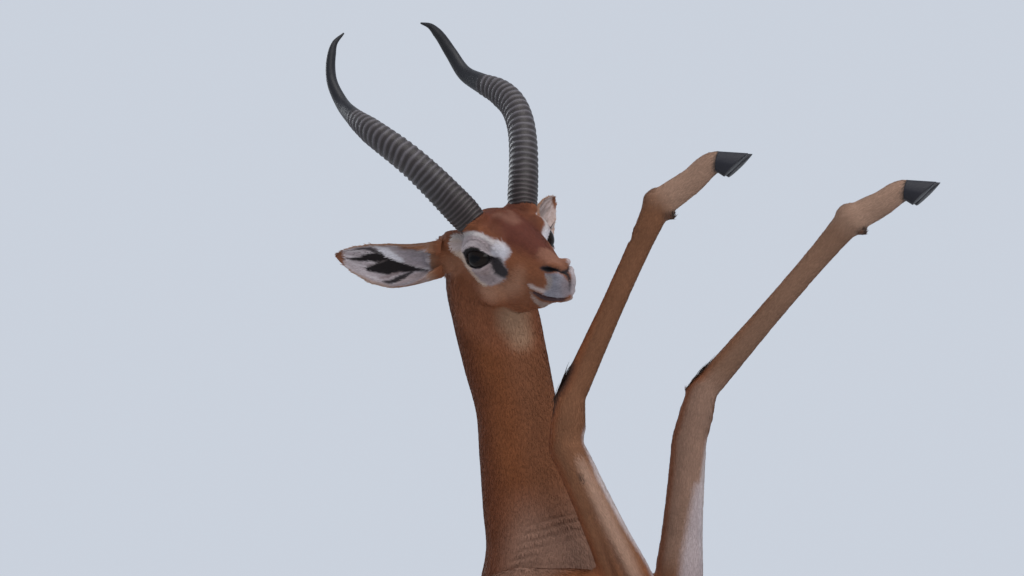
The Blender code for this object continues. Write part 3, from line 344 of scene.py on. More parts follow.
# A tuft's length, width and rise from a share of a chain on
BODY_TUFT = (0.0105, 0.0014, 0.0008)
TUFTS = [("head", 0, (0.005, 0.0008, 0.0004)), ("neck", 0, (0.0085, 0.0011, 0.0006)),
         ("tail", 0, (0.011, 0.0012, 0.0011))]
for hand in ("right", "left"):
    TUFTS += [(hand + "_fore", 0.2, (0.0075, 0.0011, 0.0005)),
              (hand + "_fore", 0.55, (0.0055, 0.0009, 0.0004)),
              (hand + "_hind", 0.52, (0.006, 0.001, 0.0005)),
              (hand + "_ear", 0, (0.0048, 0.0008, 0.0003))]

CAMERA_AIM = (0, 0, 1.76)
CAMERA_AWAY = 12
CAMERA_LENS = 363
CAMERA_AZIMUTH, CAMERA_ELEVATION = 16, -2


def unit(vectors):
    """The same vectors with length one."""
    return vectors / np.maximum(np.linalg.norm(vectors, axis=-1, keepdims=True), 1e-12)


def ease(x):
    """A soft step from 0 to 1."""
    x = np.clip(x, 0, 1)
    return x * x * (3 - 2 * x)


def carry(points, matrix):
    """Points carried by a matrix."""
    m = np.array(matrix)
    return np.asarray(points, float) @ m[:3, :3].T + m[:3, 3]


def mirrored(local):
    """Points of the head, all on its left side."""
    return np.column_stack([local[:, 0], np.abs(local[:, 1]), local[:, 2]])


def knots_of(rows):
    """Each row's share of the way along a line through the rows."""
    steps = np.linalg.norm(np.diff(rows[:, :3], axis=0), axis=1)
    return np.concatenate([[0], np.cumsum(steps)]) / steps.sum()


def waves(points, size, seed):
    """Smooth noise from -1 to 1, with swells of about the given size."""
    draw = np.random.default_rng(seed)
    total = np.zeros(len(points))
    for _ in range(7):
        way = unit(draw.normal(size=3)) * (2 * math.pi / size) * draw.uniform(0.6, 1.7)
        total += np.sin(points @ way + draw.uniform(0, 6.3))
    return total / 3.2


def curve(rows, where):
    """Rows read at fractions of the length, on a smooth curve through them."""
    rows = np.array(rows, float)
    knots = knots_of(rows)
    slopes = np.gradient(rows, knots, axis=0)
    where = np.asarray(where, float)
    low = np.clip(np.searchsorted(knots, where, side="right") - 1, 0, len(rows) - 2)
    span = knots[low + 1] - knots[low]
    t = ((where - knots[low]) / span)[:, None]
    span = span[:, None]
    return (
        (2 * t**3 - 3 * t**2 + 1) * rows[low]
        + (t**3 - 2 * t**2 + t) * span * slopes[low]
        + (3 * t**2 - 2 * t**3) * rows[low + 1]
        + (t**3 - t**2) * span * slopes[low + 1]
    )


def ring_faces(count, sides):
    """The faces between rings of points."""
    i, j = np.meshgrid(np.arange(count - 1), np.arange(sides), indexing="ij")
    k = (j + 1) % sides
    faces = np.stack([i * sides + j, i * sides + k, (i + 1) * sides + k, (i + 1) * sides + j], -1)
    return faces.reshape(-1, 4).tolist()


def tube(rings, ends):
    """A closed tube through rings of points, with a point closing each end."""
    count, sides = rings.shape[:2]
    faces = ring_faces(count, sides)
    last = (count - 1) * sides
    for j in range(sides):
        k = (j + 1) % sides
        faces.append((count * sides, k, j))
        faces.append((count * sides + 1, last + j, last + k))
    return np.concatenate([rings.reshape(-1, 3), ends]), faces


def loft(rows, sides=40, rings=60, square=1.0, pinch=(0.0, 0.0), bulge=0.4):
    """A closed shell along a path; each row has its reaches, half width and turn."""
    grid = curve(rows, np.linspace(0, 1, rings))
    middle = grid[:, :3]
    along = unit(np.gradient(middle, axis=0))
    turn = np.radians(grid[:, 6])
    side = np.stack([-np.sin(turn), np.cos(turn), 0 * turn], axis=1)
    side = unit(side - (side * along).sum(1, keepdims=True) * along)
    out = np.cross(side, along)
    angle = np.arange(sides) * 2 * math.pi / sides
    c, s = np.cos(angle), np.sin(angle)
    reach = np.where(c > 0, grid[:, 3:4], grid[:, 4:5]) * np.sign(c) * np.abs(c) ** square
    narrow = 1 - pinch[0] * np.maximum(c, 0) - pinch[1] * np.maximum(-c, 0)
    across = grid[:, 5:6] * np.sign(s) * np.abs(s) ** square * narrow
    points = middle[:, None] + reach[..., None] * out[:, None] + across[..., None] * side[:, None]
    ends = [middle[0] - along[0] * bulge * grid[0, 5], middle[-1] + along[-1] * bulge * grid[-1, 5]]
    return tube(points, ends)


def limb(joints, sides=28, rings=32):
    """A limb's shell from rows of x, y, z, half depth and half width."""
    return loft([(*row[:4], row[3], row[4], 0) for row in joints], sides, rings)


def between(start, end, *shares):
    """Rows on the line between two joints, from shares of its length and sizes."""
    a, b = np.array(start), np.array(end)
    return [(*(a + (b - a) * share), depth, width) for share, depth, width in shares]


def mid(a, b, share=0.5):
    """A point on the way from one joint to another."""
    return np.array(a) * (1 - share) + np.array(b) * share


def ball(middle, radii, segments=28):
    """An ellipsoid shell with its half sizes."""
    angle = np.linspace(0, math.pi, segments // 2 + 1)[1:-1]
    around = np.arange(segments) * 2 * math.pi / segments
    ring = np.stack([
        np.outer(np.sin(angle), np.cos(around)),
        np.outer(np.sin(angle), np.sin(around)),
        np.outer(np.cos(angle), np.ones(segments)),
    ], -1)
    verts, faces = tube(ring, [(0, 0, 1), (0, 0, -1)])
    return verts * radii + np.array(middle), faces


def add(name, data):
    """A new object in the scene."""
    item = bpy.data.objects.new(name, data)
    bpy.context.scene.collection.objects.link(item)
    return item


def paint_points(mesh, colors):
    """Give a mesh's points their colours."""
    layer = mesh.color_attributes.new("Col", "FLOAT_COLOR", "POINT")
    rgba = np.column_stack([colors, np.ones(len(colors))])
    layer.data.foreach_set("color", rgba.astype(np.float32).ravel())


def make_object(name, shells):
    """One object from shells."""
    verts, faces, start = [], [], 0
    for points, polygons in shells:
        verts.append(points)
        faces += [tuple(start + i for i in polygon) for polygon in polygons]
        start += len(points)
    mesh = bpy.data.meshes.new(name)
    mesh.from_pydata(np.concatenate(verts).tolist(), [], faces)
    work = bmesh.new()
    work.from_mesh(mesh)
    bmesh.ops.recalc_face_normals(work, faces=work.faces)
    work.to_mesh(mesh)
    work.free()
    return add(name, mesh)


def settle(item):
    """Make the modifiers' result the object's own mesh."""
    view = bpy.context.evaluated_depsgraph_get()
    mesh = bpy.data.meshes.new_from_object(item.evaluated_get(view))
    item.modifiers.clear()
    item.data = mesh
    return item


def fuse(item, voxel, softening):
    """Melt an object's shells into one closed skin."""
    melt = item.modifiers.new("melt", "REMESH")
    melt.mode = "VOXEL"
    melt.voxel_size = voxel
    soften = item.modifiers.new("soften", "SMOOTH")
    soften.factor = 0.5
    soften.iterations = softening
    return settle(item)


def arrays(item):
    """The object's points and triangles."""
    mesh = item.data
    mesh.calc_loop_triangles()
    verts = np.zeros(len(mesh.vertices) * 3)
    mesh.vertices.foreach_get("co", verts)
    tris = np.zeros(len(mesh.loop_triangles) * 3, np.int32)
    mesh.loop_triangles.foreach_get("vertices", tris)
    return verts.reshape(-1, 3), tris.reshape(-1, 3)


def put_mesh(name, verts, tris, colors, smooth=True, uv=None):
    """An object from arrays, with colours for its points and a bake map for its corners."""
    mesh = bpy.data.meshes.new(name)
    mesh.vertices.add(len(verts))
    mesh.vertices.foreach_set("co", np.asarray(verts, np.float32).ravel())
    mesh.loops.add(len(tris) * 3)
    mesh.loops.foreach_set("vertex_index", np.asarray(tris, np.int32).ravel())
    mesh.polygons.add(len(tris))
    mesh.polygons.foreach_set("loop_start", np.arange(0, len(tris) * 3, 3, dtype=np.int32))
    mesh.polygons.foreach_set("use_smooth", np.full(len(tris), smooth))
    mesh.update(calc_edges=True)
    paint_points(mesh, colors)
    if uv is not None:
        layer = mesh.uv_layers.new(name="OFBake")
        layer.data.foreach_set("uv", np.asarray(uv, np.float32).ravel())
    return add(name, mesh)


def gather(count, index, values):
    """Sums of rows of values by index."""
    return np.stack([np.bincount(index, values[:, k], count) for k in range(values.shape[1])], 1)


def normals(verts, tris):
    """Each point's outward direction."""
    a, b, c = (verts[tris[:, k]] for k in range(3))
    flat = np.cross(b - a, c - a)
    return unit(gather(len(verts), tris.T.ravel(), np.tile(flat, (3, 1))))


def edges_of(tris):
    """The triangles' edges, once each, and the number of each triangle's own three."""
    pairs = np.sort(np.concatenate([tris[:, [0, 1]], tris[:, [1, 2]], tris[:, [2, 0]]]), axis=1)
    codes = pairs[:, 0].astype(np.int64) * (tris.max() + 1) + pairs[:, 1]
    _, first, number = np.unique(codes, return_index=True, return_inverse=True)
    return pairs[first], number.reshape(3, -1).T


def soften(verts, tris, amount, times):
    """Move points towards the middle of their neighbours, each by its own amount."""
    edges, _ = edges_of(tris)
    a, b = edges[:, 0], edges[:, 1]
    count = np.maximum(np.bincount(np.concatenate([a, b]), minlength=len(verts)), 1)[:, None]
    for _ in range(times):
        total = gather(len(verts), np.concatenate([a, b]), verts[np.concatenate([b, a])])
        verts = verts + (total / count - verts) * np.broadcast_to(amount, len(verts))[:, None]
    return verts


def refine(verts, tris, wanted):
    """Split edges that are longer than wanted at their ends, and round the new points."""
    out = normals(verts, tris)
    edges, own = edges_of(tris)
    a, b = edges[:, 0], edges[:, 1]
    size = np.linalg.norm(verts[a] - verts[b], axis=1)
    marked = size > 1.35 * (wanted[a] + wanted[b]) / 2
    number = np.full(len(edges), -1)
    number[marked] = len(verts) + np.arange(marked.sum())
    a, b = a[marked], b[marked]
    middle = (verts[a] + verts[b]) / 2
    for end in (a, b):
        lift = ((verts[end] - middle) * out[end]).sum(1, keepdims=True)
        middle = middle + 0.35 * lift * out[end]
    points = np.concatenate([verts, middle])
    cut = number[own]
    hits = (cut >= 0).sum(1)
    first = np.argmax(cut >= 0, axis=1)
    first = np.where(hits == 2, (np.argmin(cut >= 0, axis=1) + 1) % 3, first)
    turn = (first[:, None] + np.arange(3)) % 3
    v = np.take_along_axis(tris, turn, 1)
    m = np.take_along_axis(cut, turn, 1)
    made = [v[hits == 0]]
    for kind, patterns in (
        (1, ("v0 m0 v2", "m0 v1 v2")),
        (2, ("m0 v1 m1", "v0 m0 m1", "v0 m1 v2")),
        (3, ("v0 m0 m2", "m0 v1 m1", "m2 m1 v2", "m0 m1 m2")),
    ):
        chosen = hits == kind
        for pattern in patterns:
            picks = [(v if p[0] == "v" else m)[chosen][:, int(p[1])] for p in pattern.split()]
            made.append(np.stack(picks, 1))
    return points, np.concatenate(made)


def to_path(points, path):
    """Each point's distance to a line through path, its share along, and the line's way there."""
    path = np.asarray(path, float)[:, : points.shape[1]]
    sizes = np.linalg.norm(np.diff(path, axis=0), axis=1)
    before = np.concatenate([[0], np.cumsum(sizes)])
    best = np.full(len(points), 1e9)
    share = np.zeros(len(points))
    way = np.zeros(points.shape)
    for k, size in enumerate(sizes):
        step = path[k + 1] - path[k]
        t = np.clip((points - path[k]) @ step / size**2, 0, 1)
        gap = np.linalg.norm(points - path[k] - t[:, None] * step, axis=1)
        nearer = gap < best
        best = np.where(nearer, gap, best)
        share = np.where(nearer, (before[k] + t * size) / before[-1], share)
        way[nearer] = step / size
    return best, share, way


def patch(points, path, radius, soft):
    """A soft-edged stroke along a path, 1 inside and 0 outside."""
    gap, share, _ = to_path(points, path)
    size = np.interp(share, np.linspace(0, 1, len(radius)), radius)
    return ease((size + soft - gap) / (2 * soft))


def ridge(points, path, width, height):
    """A rounded ridge, or a groove where height is negative, along a path."""
    gap, share, _ = to_path(points, path)
    fade = np.minimum(1, np.minimum(share, 1 - share) * 6 + 0.15)
    return height * fade * np.exp(-((gap / width) ** 2))


def filled(places, outline, soft):
    """1 inside a closed outline on a drawing and 0 outside, with a soft edge."""
    path = np.array(list(outline) + [outline[0]], float)
    x, y = places[:, 0], places[:, 1]
    gap = to_path(places[:, :2], path)[0]
    odd = np.zeros(len(places), bool)
    for (x0, y0), (x1, y1) in zip(path[:-1], path[1:]):
        if y0 != y1:
            odd ^= ((y0 > y) != (y1 > y)) & (x < x0 + (y - y0) * (x1 - x0) / (y1 - y0))
    return ease((np.where(odd, gap, -gap) + soft) / (2 * soft))


def drawn(local, mirror=True):
    """Millimetres right, up and near, on a drawing of the head from its right front."""
    y = -np.abs(local[:, 1]) if mirror else local[:, 1]
    return np.column_stack([local[:, 0], y, local[:, 2]]) @ DRAWN.T * 1000


def seen(places):
    """1 on the front of the head, where the drawing holds, and 0 behind."""
    return ease((places[:, 2] + 40) / 8)


def foot_frame(joints):
    """The hoof's frame, with +X to the toe's tip and +Z away from the sole."""
    pitch = math.radians(joints["hoof_pitch"])
    return Matrix.Translation(joints["coronet"]) @ Matrix.Rotation(-pitch, 4, "Y")


def hoof_seat(joints):
    """The middle of a hoof's sloping top, and the way that it faces."""
    (fx, fz), (bx, bz) = joints["hoof_top"]
    seat = foot_frame(joints)
    middle = seat @ Vector(((fx + bx) / 2, 0, (fz + bz) / 2))
    return np.array(middle), np.array(seat.to_3x3() @ Vector((bz - fz, 0, fx - bx)).normalized())


def foreleg_shells(joints):
    """Upper arm, forearm, cannon and pastern of one foreleg."""
    shoulder, elbow, wrist, carpus, fetlock = (joints[k] for k in FORE_JOINTS[:5])
    coronet, up = hoof_seat(joints)
    side = math.copysign(1, shoulder[1])
    blade = (-0.02, 0.06 * side, 1.255)
    below = coronet - up * 0.006
    return [
        limb([(*blade, 0.04, 0.018), (*shoulder, 0.046, 0.028), (*mid(shoulder, elbow), 0.044, 0.028)]),
        limb(between(shoulder, elbow, (0, 0.048, 0.028), (0.5, 0.046, 0.031), (1, 0.034, 0.025))),
        limb(between(elbow, wrist, (-0.06, 0.031, 0.023), (0.18, 0.03, 0.0235), (0.42, 0.0258, 0.0208),
                     (0.67, 0.0234, 0.0187), (0.88, 0.0222, 0.0178), (1.0, 0.0216, 0.018))
             + between(wrist, carpus, (0.35, 0.0212, 0.0182), (1.0, 0.018, 0.017))),
        ball(wrist, (0.0215, 0.0185, 0.023)),
        ball(carpus, (0.018, 0.0178, 0.02)),
        limb(between(carpus, fetlock, (-0.05, 0.0175, 0.0165), (0.12, 0.0165, 0.0145), (0.5, 0.0143, 0.0118),
                     (0.85, 0.0152, 0.0125), (1.02, 0.0178, 0.0155))),
        ball(fetlock, (0.0195, 0.016, 0.0205)),
        limb(between(fetlock, coronet, (0, 0.0182, 0.015), (0.5, 0.016, 0.0136), (1, 0.0124, 0.0168))
             + [(*below, 0.0114, 0.0172)]),
    ]


def hindleg_shells(joints):
    """Thigh, shank, cannon and pastern of one hind leg."""
    hip, knee, hock, fetlock = (np.array(joints[k]) for k in HIND_JOINTS[:4])
    coronet, up = hoof_seat(joints)
    heel = hock + (-0.022, 0, 0.02)
    rump = hip + (0, 0, 0.045)
    below = coronet - up * 0.006
    return [
        limb(between(hip, knee, (-0.15, 0.085, 0.036), (0.15, 0.11, 0.047), (0.45, 0.096, 0.048),
                     (0.75, 0.068, 0.039), (0.98, 0.044, 0.03), (1.1, 0.028, 0.022))),
        limb(between(knee, hock, (-0.04, 0.036, 0.027), (0.12, 0.043, 0.03), (0.35, 0.035, 0.025),
                     (0.62, 0.0215, 0.017), (0.88, 0.0185, 0.0145), (1.0, 0.0215, 0.0165))),
        limb([(*(mid(knee, hock, 0.55) + (-0.018, 0, 0)), 0.01, 0.009),
              (*(mid(knee, heel, 0.85) + (-0.006, 0, 0)), 0.0085, 0.0075), (*heel, 0.0115, 0.0105)]),
        limb([(*heel, 0.012, 0.011), (*hock, 0.02, 0.017),
              *between(hock, fetlock, (0.14, 0.019, 0.015), (0.5, 0.0152, 0.0122),
                       (0.86, 0.015, 0.0125), (1.02, 0.0178, 0.0155))], rings=44),
        ball(rump, (0.07, 0.036, 0.07)),
        ball(fetlock, (0.02, 0.0165, 0.0205)),
        limb(between(fetlock, coronet, (0, 0.0165, 0.015), (0.5, 0.014, 0.0142), (1, 0.0132, 0.0175))
             + [(*below, 0.0125, 0.018)]),
    ]


def dewclaw_shells(joints, back):
    """The two small claws behind a fetlock."""
    place = np.array(joints["fetlock"]) + back
    return [ball(place + (0, y, 0), (0.0058, 0.0046, 0.0068)) for y in (-0.0085, 0.0085)]


def head_shells():
    """Skull and muzzle, cheeks, orbits, lips and chin, in the head's frame."""
    shells = [loft(SKULL, 64, 110, square=0.9, pinch=(0.22, 0.3))]
    for side in (-1, 1):
        shells.append(ball((EYE_AT[0], side * EYE_AT[1], EYE_AT[2]), [EYE_RADIUS + LID_THICK] * 3))
        shells += [ball((x, side * y, z), radii) for (x, y, z), radii in HEAD_BULGES]
        shells += [limb([(x, side * y, z, r, r) for x, y, z, r in rows]) for rows in LIPS]
    shells.append(ball((0.09, 0, -0.065), (0.016, 0.011, 0.007)))
    return [(carry(verts, HEAD), faces) for verts, faces in shells]


def ear_frame(side):
    """The ear's root and its ways along, to the opening, and across to its upper edge."""
    root = np.array(EAR_ROOT) * (1, side, 1)
    axis = unit(np.array(EAR_AXES[side]))
    face = np.array((0.86, side * 0.2, -0.1))
    face = unit(face - face.dot(axis) * axis)
    return root, axis, face, np.cross(axis, face) * side


def ear_shells(side):
    """The cupped leaf of one ear and its root."""
    root, axis, face, across = ear_frame(side)
    where = np.linspace(0, 1, 60)
    half, cup, spread = (np.interp(where, EAR_ROWS[:, 0], EAR_ROWS[:, k]) for k in (1, 2, 3))
    turns = np.linspace(-1, 1, 49)
    rings = []
    for t, w, c, p in zip(where, half, cup, np.radians(spread)):
        middle = root + axis * EAR_LENGTH * t + across * EAR_SAG * math.sin(math.pi * t)
        middle = middle + face * c * (1 - 0.5 * t)
        thin = EAR_THICK * (1 - 0.45 * t)
        outer = [middle + across * w * math.sin(p * k) - face * c * math.cos(p * k) for k in turns]
        inner = [middle + across * (w - thin) * math.sin(p * k) - face * (c - thin) * math.cos(p * k)
                 for k in reversed(turns)]
        rings.append(outer + inner)
    rings = np.array(rings)
    count, around = rings.shape[:2]
    faces = ring_faces(count, around)
    for start in (0, (count - 1) * around):
        for j in range(around // 2 - 1):
            k = around - 1 - j
            faces.append((start + j, start + j + 1, start + k - 1, start + k))
    stem = limb([(-0.076, side * 0.036, -0.001, 0.018, 0.013), (-0.088, side * 0.051, 0.002, 0.02, 0.014),
                 (-0.098, side * 0.062, 0.006, 0.015, 0.01)])
    return [(carry(rings.reshape(-1, 3), HEAD), faces), (carry(stem[0], HEAD), stem[1])]


def head_space(points):
    """Points in the head's frame."""
    return carry(points, HEAD.inverted())


def eye_frame(side):
    """The eyeball's frame, with +X looking out of the head and a little forward."""
    look = Vector((0.47, side * 0.88, 0.02)).normalized()
    turn = look.to_track_quat("X", "Z").to_matrix().to_4x4()
    return Matrix.Translation((EYE_AT[0], side * EYE_AT[1], EYE_AT[2])) @ turn


def eye_angles(local, side):
    """Angles from the eye's middle, towards the nose and upwards, and the distance."""
    e = carry(local, eye_frame(side).inverted())
    far = np.linalg.norm(e, axis=1)
    forward = np.arctan2(-side * e[:, 1], e[:, 0])
    return forward, np.arcsin(np.clip(e[:, 2] / np.maximum(far, 1e-6), -1, 1)), far


def lid_edge(forward, up):
    """Under 1 inside the almond between the lids, and over 1 outside."""
    tilt = math.radians(-9)
    f = forward * math.cos(tilt) + up * math.sin(tilt)
    u = -forward * math.sin(tilt) + up * math.cos(tilt)
    u = u + 0.05
    half = np.where(u > 0, 0.56, 0.53)
    wide = np.where(f > 0, 1.06, 0.8)
    return np.abs(f / wide) ** np.where(f > 0, 1.5, 1.9) + np.abs(u / half) ** 1.9


def spread_chain(rows, matrix=None):
    """A chain's points in the world, with its radii."""
    rows = np.array(rows, float)
    points = carry(rows[:, :3], matrix) if matrix else rows[:, :3]
    return np.column_stack([points, rows[:, 3]])


def ear_chain(side):
    """The line along an ear, from its root to its tip."""
    root, axis, _, across = ear_frame(side)
    rows = [(*(root + axis * EAR_LENGTH * t + across * EAR_SAG * math.sin(math.pi * t)), 0.022)
            for t in (0.12, 0.35, 0.6, 0.85, 1.0)]
    return spread_chain(rows, HEAD)


def leg_chain(joints, names, radii):
    """The line down a leg, from its top joint to its hoof."""
    return np.array([(*joints[name], r) for name, r in zip(names, radii)])


def make_chains():
    """The lines that the coat follows, with their radii, by name."""
    chains = {
        "head": spread_chain([(0.112, 0, -0.045, 0.016), (0.06, 0, -0.036, 0.03), (0.0, 0, -0.012, 0.05),
                              (-0.06, 0, -0.005, 0.05), (-0.1, 0, 0.0, 0.036)], HEAD),
        "neck": np.array([(*r[:3], (r[3] + r[5]) / 2) for r in reversed(NECK[:9])]),
        "trunk": np.array([(*r[:3], (r[3] + r[5]) / 2) for r in reversed(TRUNK[:9])]),
        "tail": np.array([(*r[:3], r[5] * 1.05) for r in TAIL]),
    }
    for name, side in (("right", -1), ("left", 1)):
        chains[name + "_ear"] = ear_chain(side)
        chains[name + "_fore"] = leg_chain(FORE[name], FORE_JOINTS, (0.034, 0.03, 0.02, 0.019, 0.018, 0.016))
        chains[name + "_hind"] = leg_chain(HIND[name], HIND_JOINTS, (0.06, 0.036, 0.02, 0.018, 0.016))
    return chains


CHAINS = make_chains()
ZONES = list(CHAINS)


def zones(points):
    """How near each point is to each chain, in radii, with its share and way there."""
    near, share, way = [], [], []
    for chain in CHAINS.values():
        gap, along, line = to_path(points, chain)
        near.append(gap / np.interp(along, knots_of(chain), chain[:, 3]))
        share.append(along)
        way.append(line)
    return np.array(near), np.array(share), np.array(way)


def flow(out, near, way):
    """The lie of the coat: along the chains, flat on the skin."""
    weight = np.maximum(near, 0.3) ** -5.0
    line = (weight[..., None] * way).sum(0)
    line = line - (line * out).sum(1, keepdims=True) * out
    return unit(line)


def forearm_lines(joints):
    """The sunk lines between the tendons, on the outer side of a forearm."""
    elbow, wrist = np.array(joints["elbow"]), np.array(joints["wrist"])
    along = unit(wrist - elbow)
    rear = unit(np.cross((0, 1, 0), along))
    out = (0, math.copysign(0.022, elbow[1]), 0)
    return [[mid(elbow, wrist, t) + rear * (0.006 - 0.008 * t) + out for t in (-0.05, 0.35, 0.74)],
            [mid(elbow, wrist, t) - rear * (0.01 - 0.01 * t) + out for t in (0.0, 0.35, 0.7)]]


def wrinkles(points):
    """Raised and sunk lines on the skin: folds, tendons, veins and wrinkles."""
    lift = np.zeros(len(points))
    low = (points[:, 2] > 1.4) & (points[:, 2] < 1.6) & (points[:, 0] > -0.06) & (points[:, 0] < 0.13)
    spot = points[low]
    for k in range(9):
        z = 1.418 + 0.0092 * k
        for side in (-1, 1):
            path = [(0.012 - 0.002 * k, side * 0.05, z - 0.012), (0.045, side * 0.044, z - 0.003),
                    (0.075, side * 0.028, z + 0.006), (0.092, side * 0.006, z + 0.01)]
            lift[low] += ridge(spot, path, 0.0022, -0.0018)
    for side in (-1, 1):
        fold = [(0.006, side * 0.053, 1.42), (0.018, side * 0.056, 1.432), (0.034, side * 0.056, 1.437),
                (0.052, side * 0.051, 1.44)]
        lift[low] += ridge(spot, fold, 0.004, -0.002)
    for joints in FORE.values():
        for path in forearm_lines(joints):
            close = np.linalg.norm(points - path[1], axis=1) < 0.15
            lift[close] += ridge(points[close], path, 0.0046, -0.0028)
    for joints in list(FORE.values()) + list(HIND.values()):
        top, end = np.array(joints.get("carpus", joints.get("hock"))), np.array(joints["fetlock"])
        along = unit(end - top)
        back = unit(np.cross(along, (0, 1, 0)))
        for side in (-1, 1):
            path = [mid(top, end, t) + back * 0.004 + (0, side * 0.012, 0) for t in (0.15, 0.5, 0.9)]
            close = np.linalg.norm(points - mid(top, end), axis=1) < 0.16
            lift[close] += ridge(points[close], path, 0.0035, -0.0012)
    return lift


def face_relief(local):
    """Raised and sunk lines of the face, in the head's frame, alike on both sides."""
    h = mirrored(local)
    lift = ridge(h, MOUTH_LINE, 0.0015, -0.003)
    lift += ridge(h, np.array(MOUTH_LINE) + (0, 0, 0.0042), 0.003, 0.0007)
    lift += ridge(h, np.array(MOUTH_LINE) + (0, 0, -0.0042), 0.0028, 0.0008)
    lift += ridge(h, PHILTRUM, 0.0011, -0.0014)
    places = drawn(local)
    near = seen(places)
    lift += ridge(places[:, :2], NOSTRIL_LINE, 2.4, -0.0048) * near
    lift += ridge(places[:, :2], np.array(NOSTRIL_LINE) + (0, 4.6), 2.6, 0.001) * near
    lift += filled(places, GLAND, 3.0) * near * -0.0014
    for line in LID_LINES:
        lift += ridge(places[:, :2], line, 1.0, -0.0007) * near
    lift += ridge(h, [(0.055, 0.02, -0.022), (0.03, 0.03, -0.034), (0.0, 0.036, -0.046)], 0.006, 0.001)
    return lift


def build_skin():
    """One closed skin for all the flesh: its points and triangles."""
    shells = [
        loft(TRUNK, 72, 150, square=0.94, pinch=(0.16, 0.05)),
        loft(NECK, 64, 120),
        loft(TAIL, 28, 70),
    ]
    for joints in FORE.values():
        shells += foreleg_shells(joints) + dewclaw_shells(joints, FORE_DEWCLAWS)
    for joints in HIND.values():
        shells += hindleg_shells(joints) + dewclaw_shells(joints, HIND_DEWCLAWS)
    body = fuse(make_object("body_form", shells + head_shells()), BODY_VOXEL, 9)
    for side in (-1, 1):
        ear = fuse(make_object("ear_form", ear_shells(side)), EAR_VOXEL, 3)
        join = body.modifiers.new("join", "BOOLEAN")
        join.operation = "UNION"
        join.solver = "MANIFOLD"
        join.object = ear
        settle(body)
        bpy.data.objects.remove(ear, do_unlink=True)
    verts, tris = arrays(body)
    bpy.data.objects.remove(body, do_unlink=True)
    return verts, tris


def detail(points):
    """How long the triangles' edges may be at each point."""
    local = head_space(points)
    h = mirrored(local)
    wanted = np.full(len(points), 1.0)
    wanted = np.where(np.linalg.norm(local - (0.005, 0, -0.015), axis=1) < 0.118, 0.002, wanted)
    eye = np.linalg.norm(h - np.array(EYE_AT), axis=1) < 0.034
    mouth = to_path(h, MOUTH_LINE)[0] < 0.008
    nose = np.linalg.norm(h - (0.101, 0.012, -0.034), axis=1) < 0.02
    return np.where(eye | mouth | nose, 0.0009, wanted)


def sculpt(verts, tris):
    """The skin inside the coat's depth, with lids, nostrils, mouth, folds and tendons."""
    near, share, _ = zones(verts)
    out = normals(verts, tris)
    zone = np.argmin(near, axis=0)
    depth = np.where(near[0] < 1.25, FACE_DEPTH, BODY_DEPTH)
    for name in ("right_ear", "left_ear"):
        depth = np.where(zone == ZONES.index(name), EAR_DEPTH, depth)
    for name in ("right_fore", "left_fore", "right_hind", "left_hind"):
        depth = np.where((zone == ZONES.index(name)) & (share[ZONES.index(name)] > 0.5), LEG_DEPTH, depth)
    verts = verts - out * depth[:, None]
    plain = verts
    local = head_space(verts)
    lift = np.zeros(len(verts))
    ahead = np.linalg.norm(local, axis=1) < 0.15
    lift[ahead] += face_relief(local[ahead])
    lift += wrinkles(verts)
    verts = verts + out * lift[:, None]
    local = head_space(verts)
    bare = np.zeros(len(verts))
    for side in (-1, 1):
        forward, up, far = eye_angles(local, side)
        close = (far < 0.032) & (np.abs(forward) < 1.6)
        edge = lid_edge(forward, up)
        inner = close & (edge < 1.0)
        middle = np.array((EYE_AT[0], side * EYE_AT[1], EYE_AT[2]))
        ray = unit(local - middle)
        sunk = np.where(inner, EYE_RADIUS - 0.003, far)
        rim = close & ~inner
        lid = EYE_RADIUS + 0.0012 + 0.0016 * ease((edge - 1.0) / 0.7)
        swell = np.exp(-((edge - 1.15) / 0.22) ** 2) * 0.0005
        share = ease((2.4 - edge) / 1.2) * rim
        sunk = np.where(rim, sunk * (1 - share) + (lid + swell) * share, sunk)
        local = np.where(close[:, None], middle + ray * sunk[:, None], local)
        bare = np.maximum(bare, close * ease((1.28 - edge) / 0.12))
    verts = np.where(ahead[:, None], carry(local, HEAD), verts)
    return verts, plain, bare


def painter(color, here):
    """A way to blend a tint into the colours, within a mask."""
    def paint(mask, tint):
        color[:] = color + (np.array(tint) - color) * (mask * here)[:, None]

    return paint


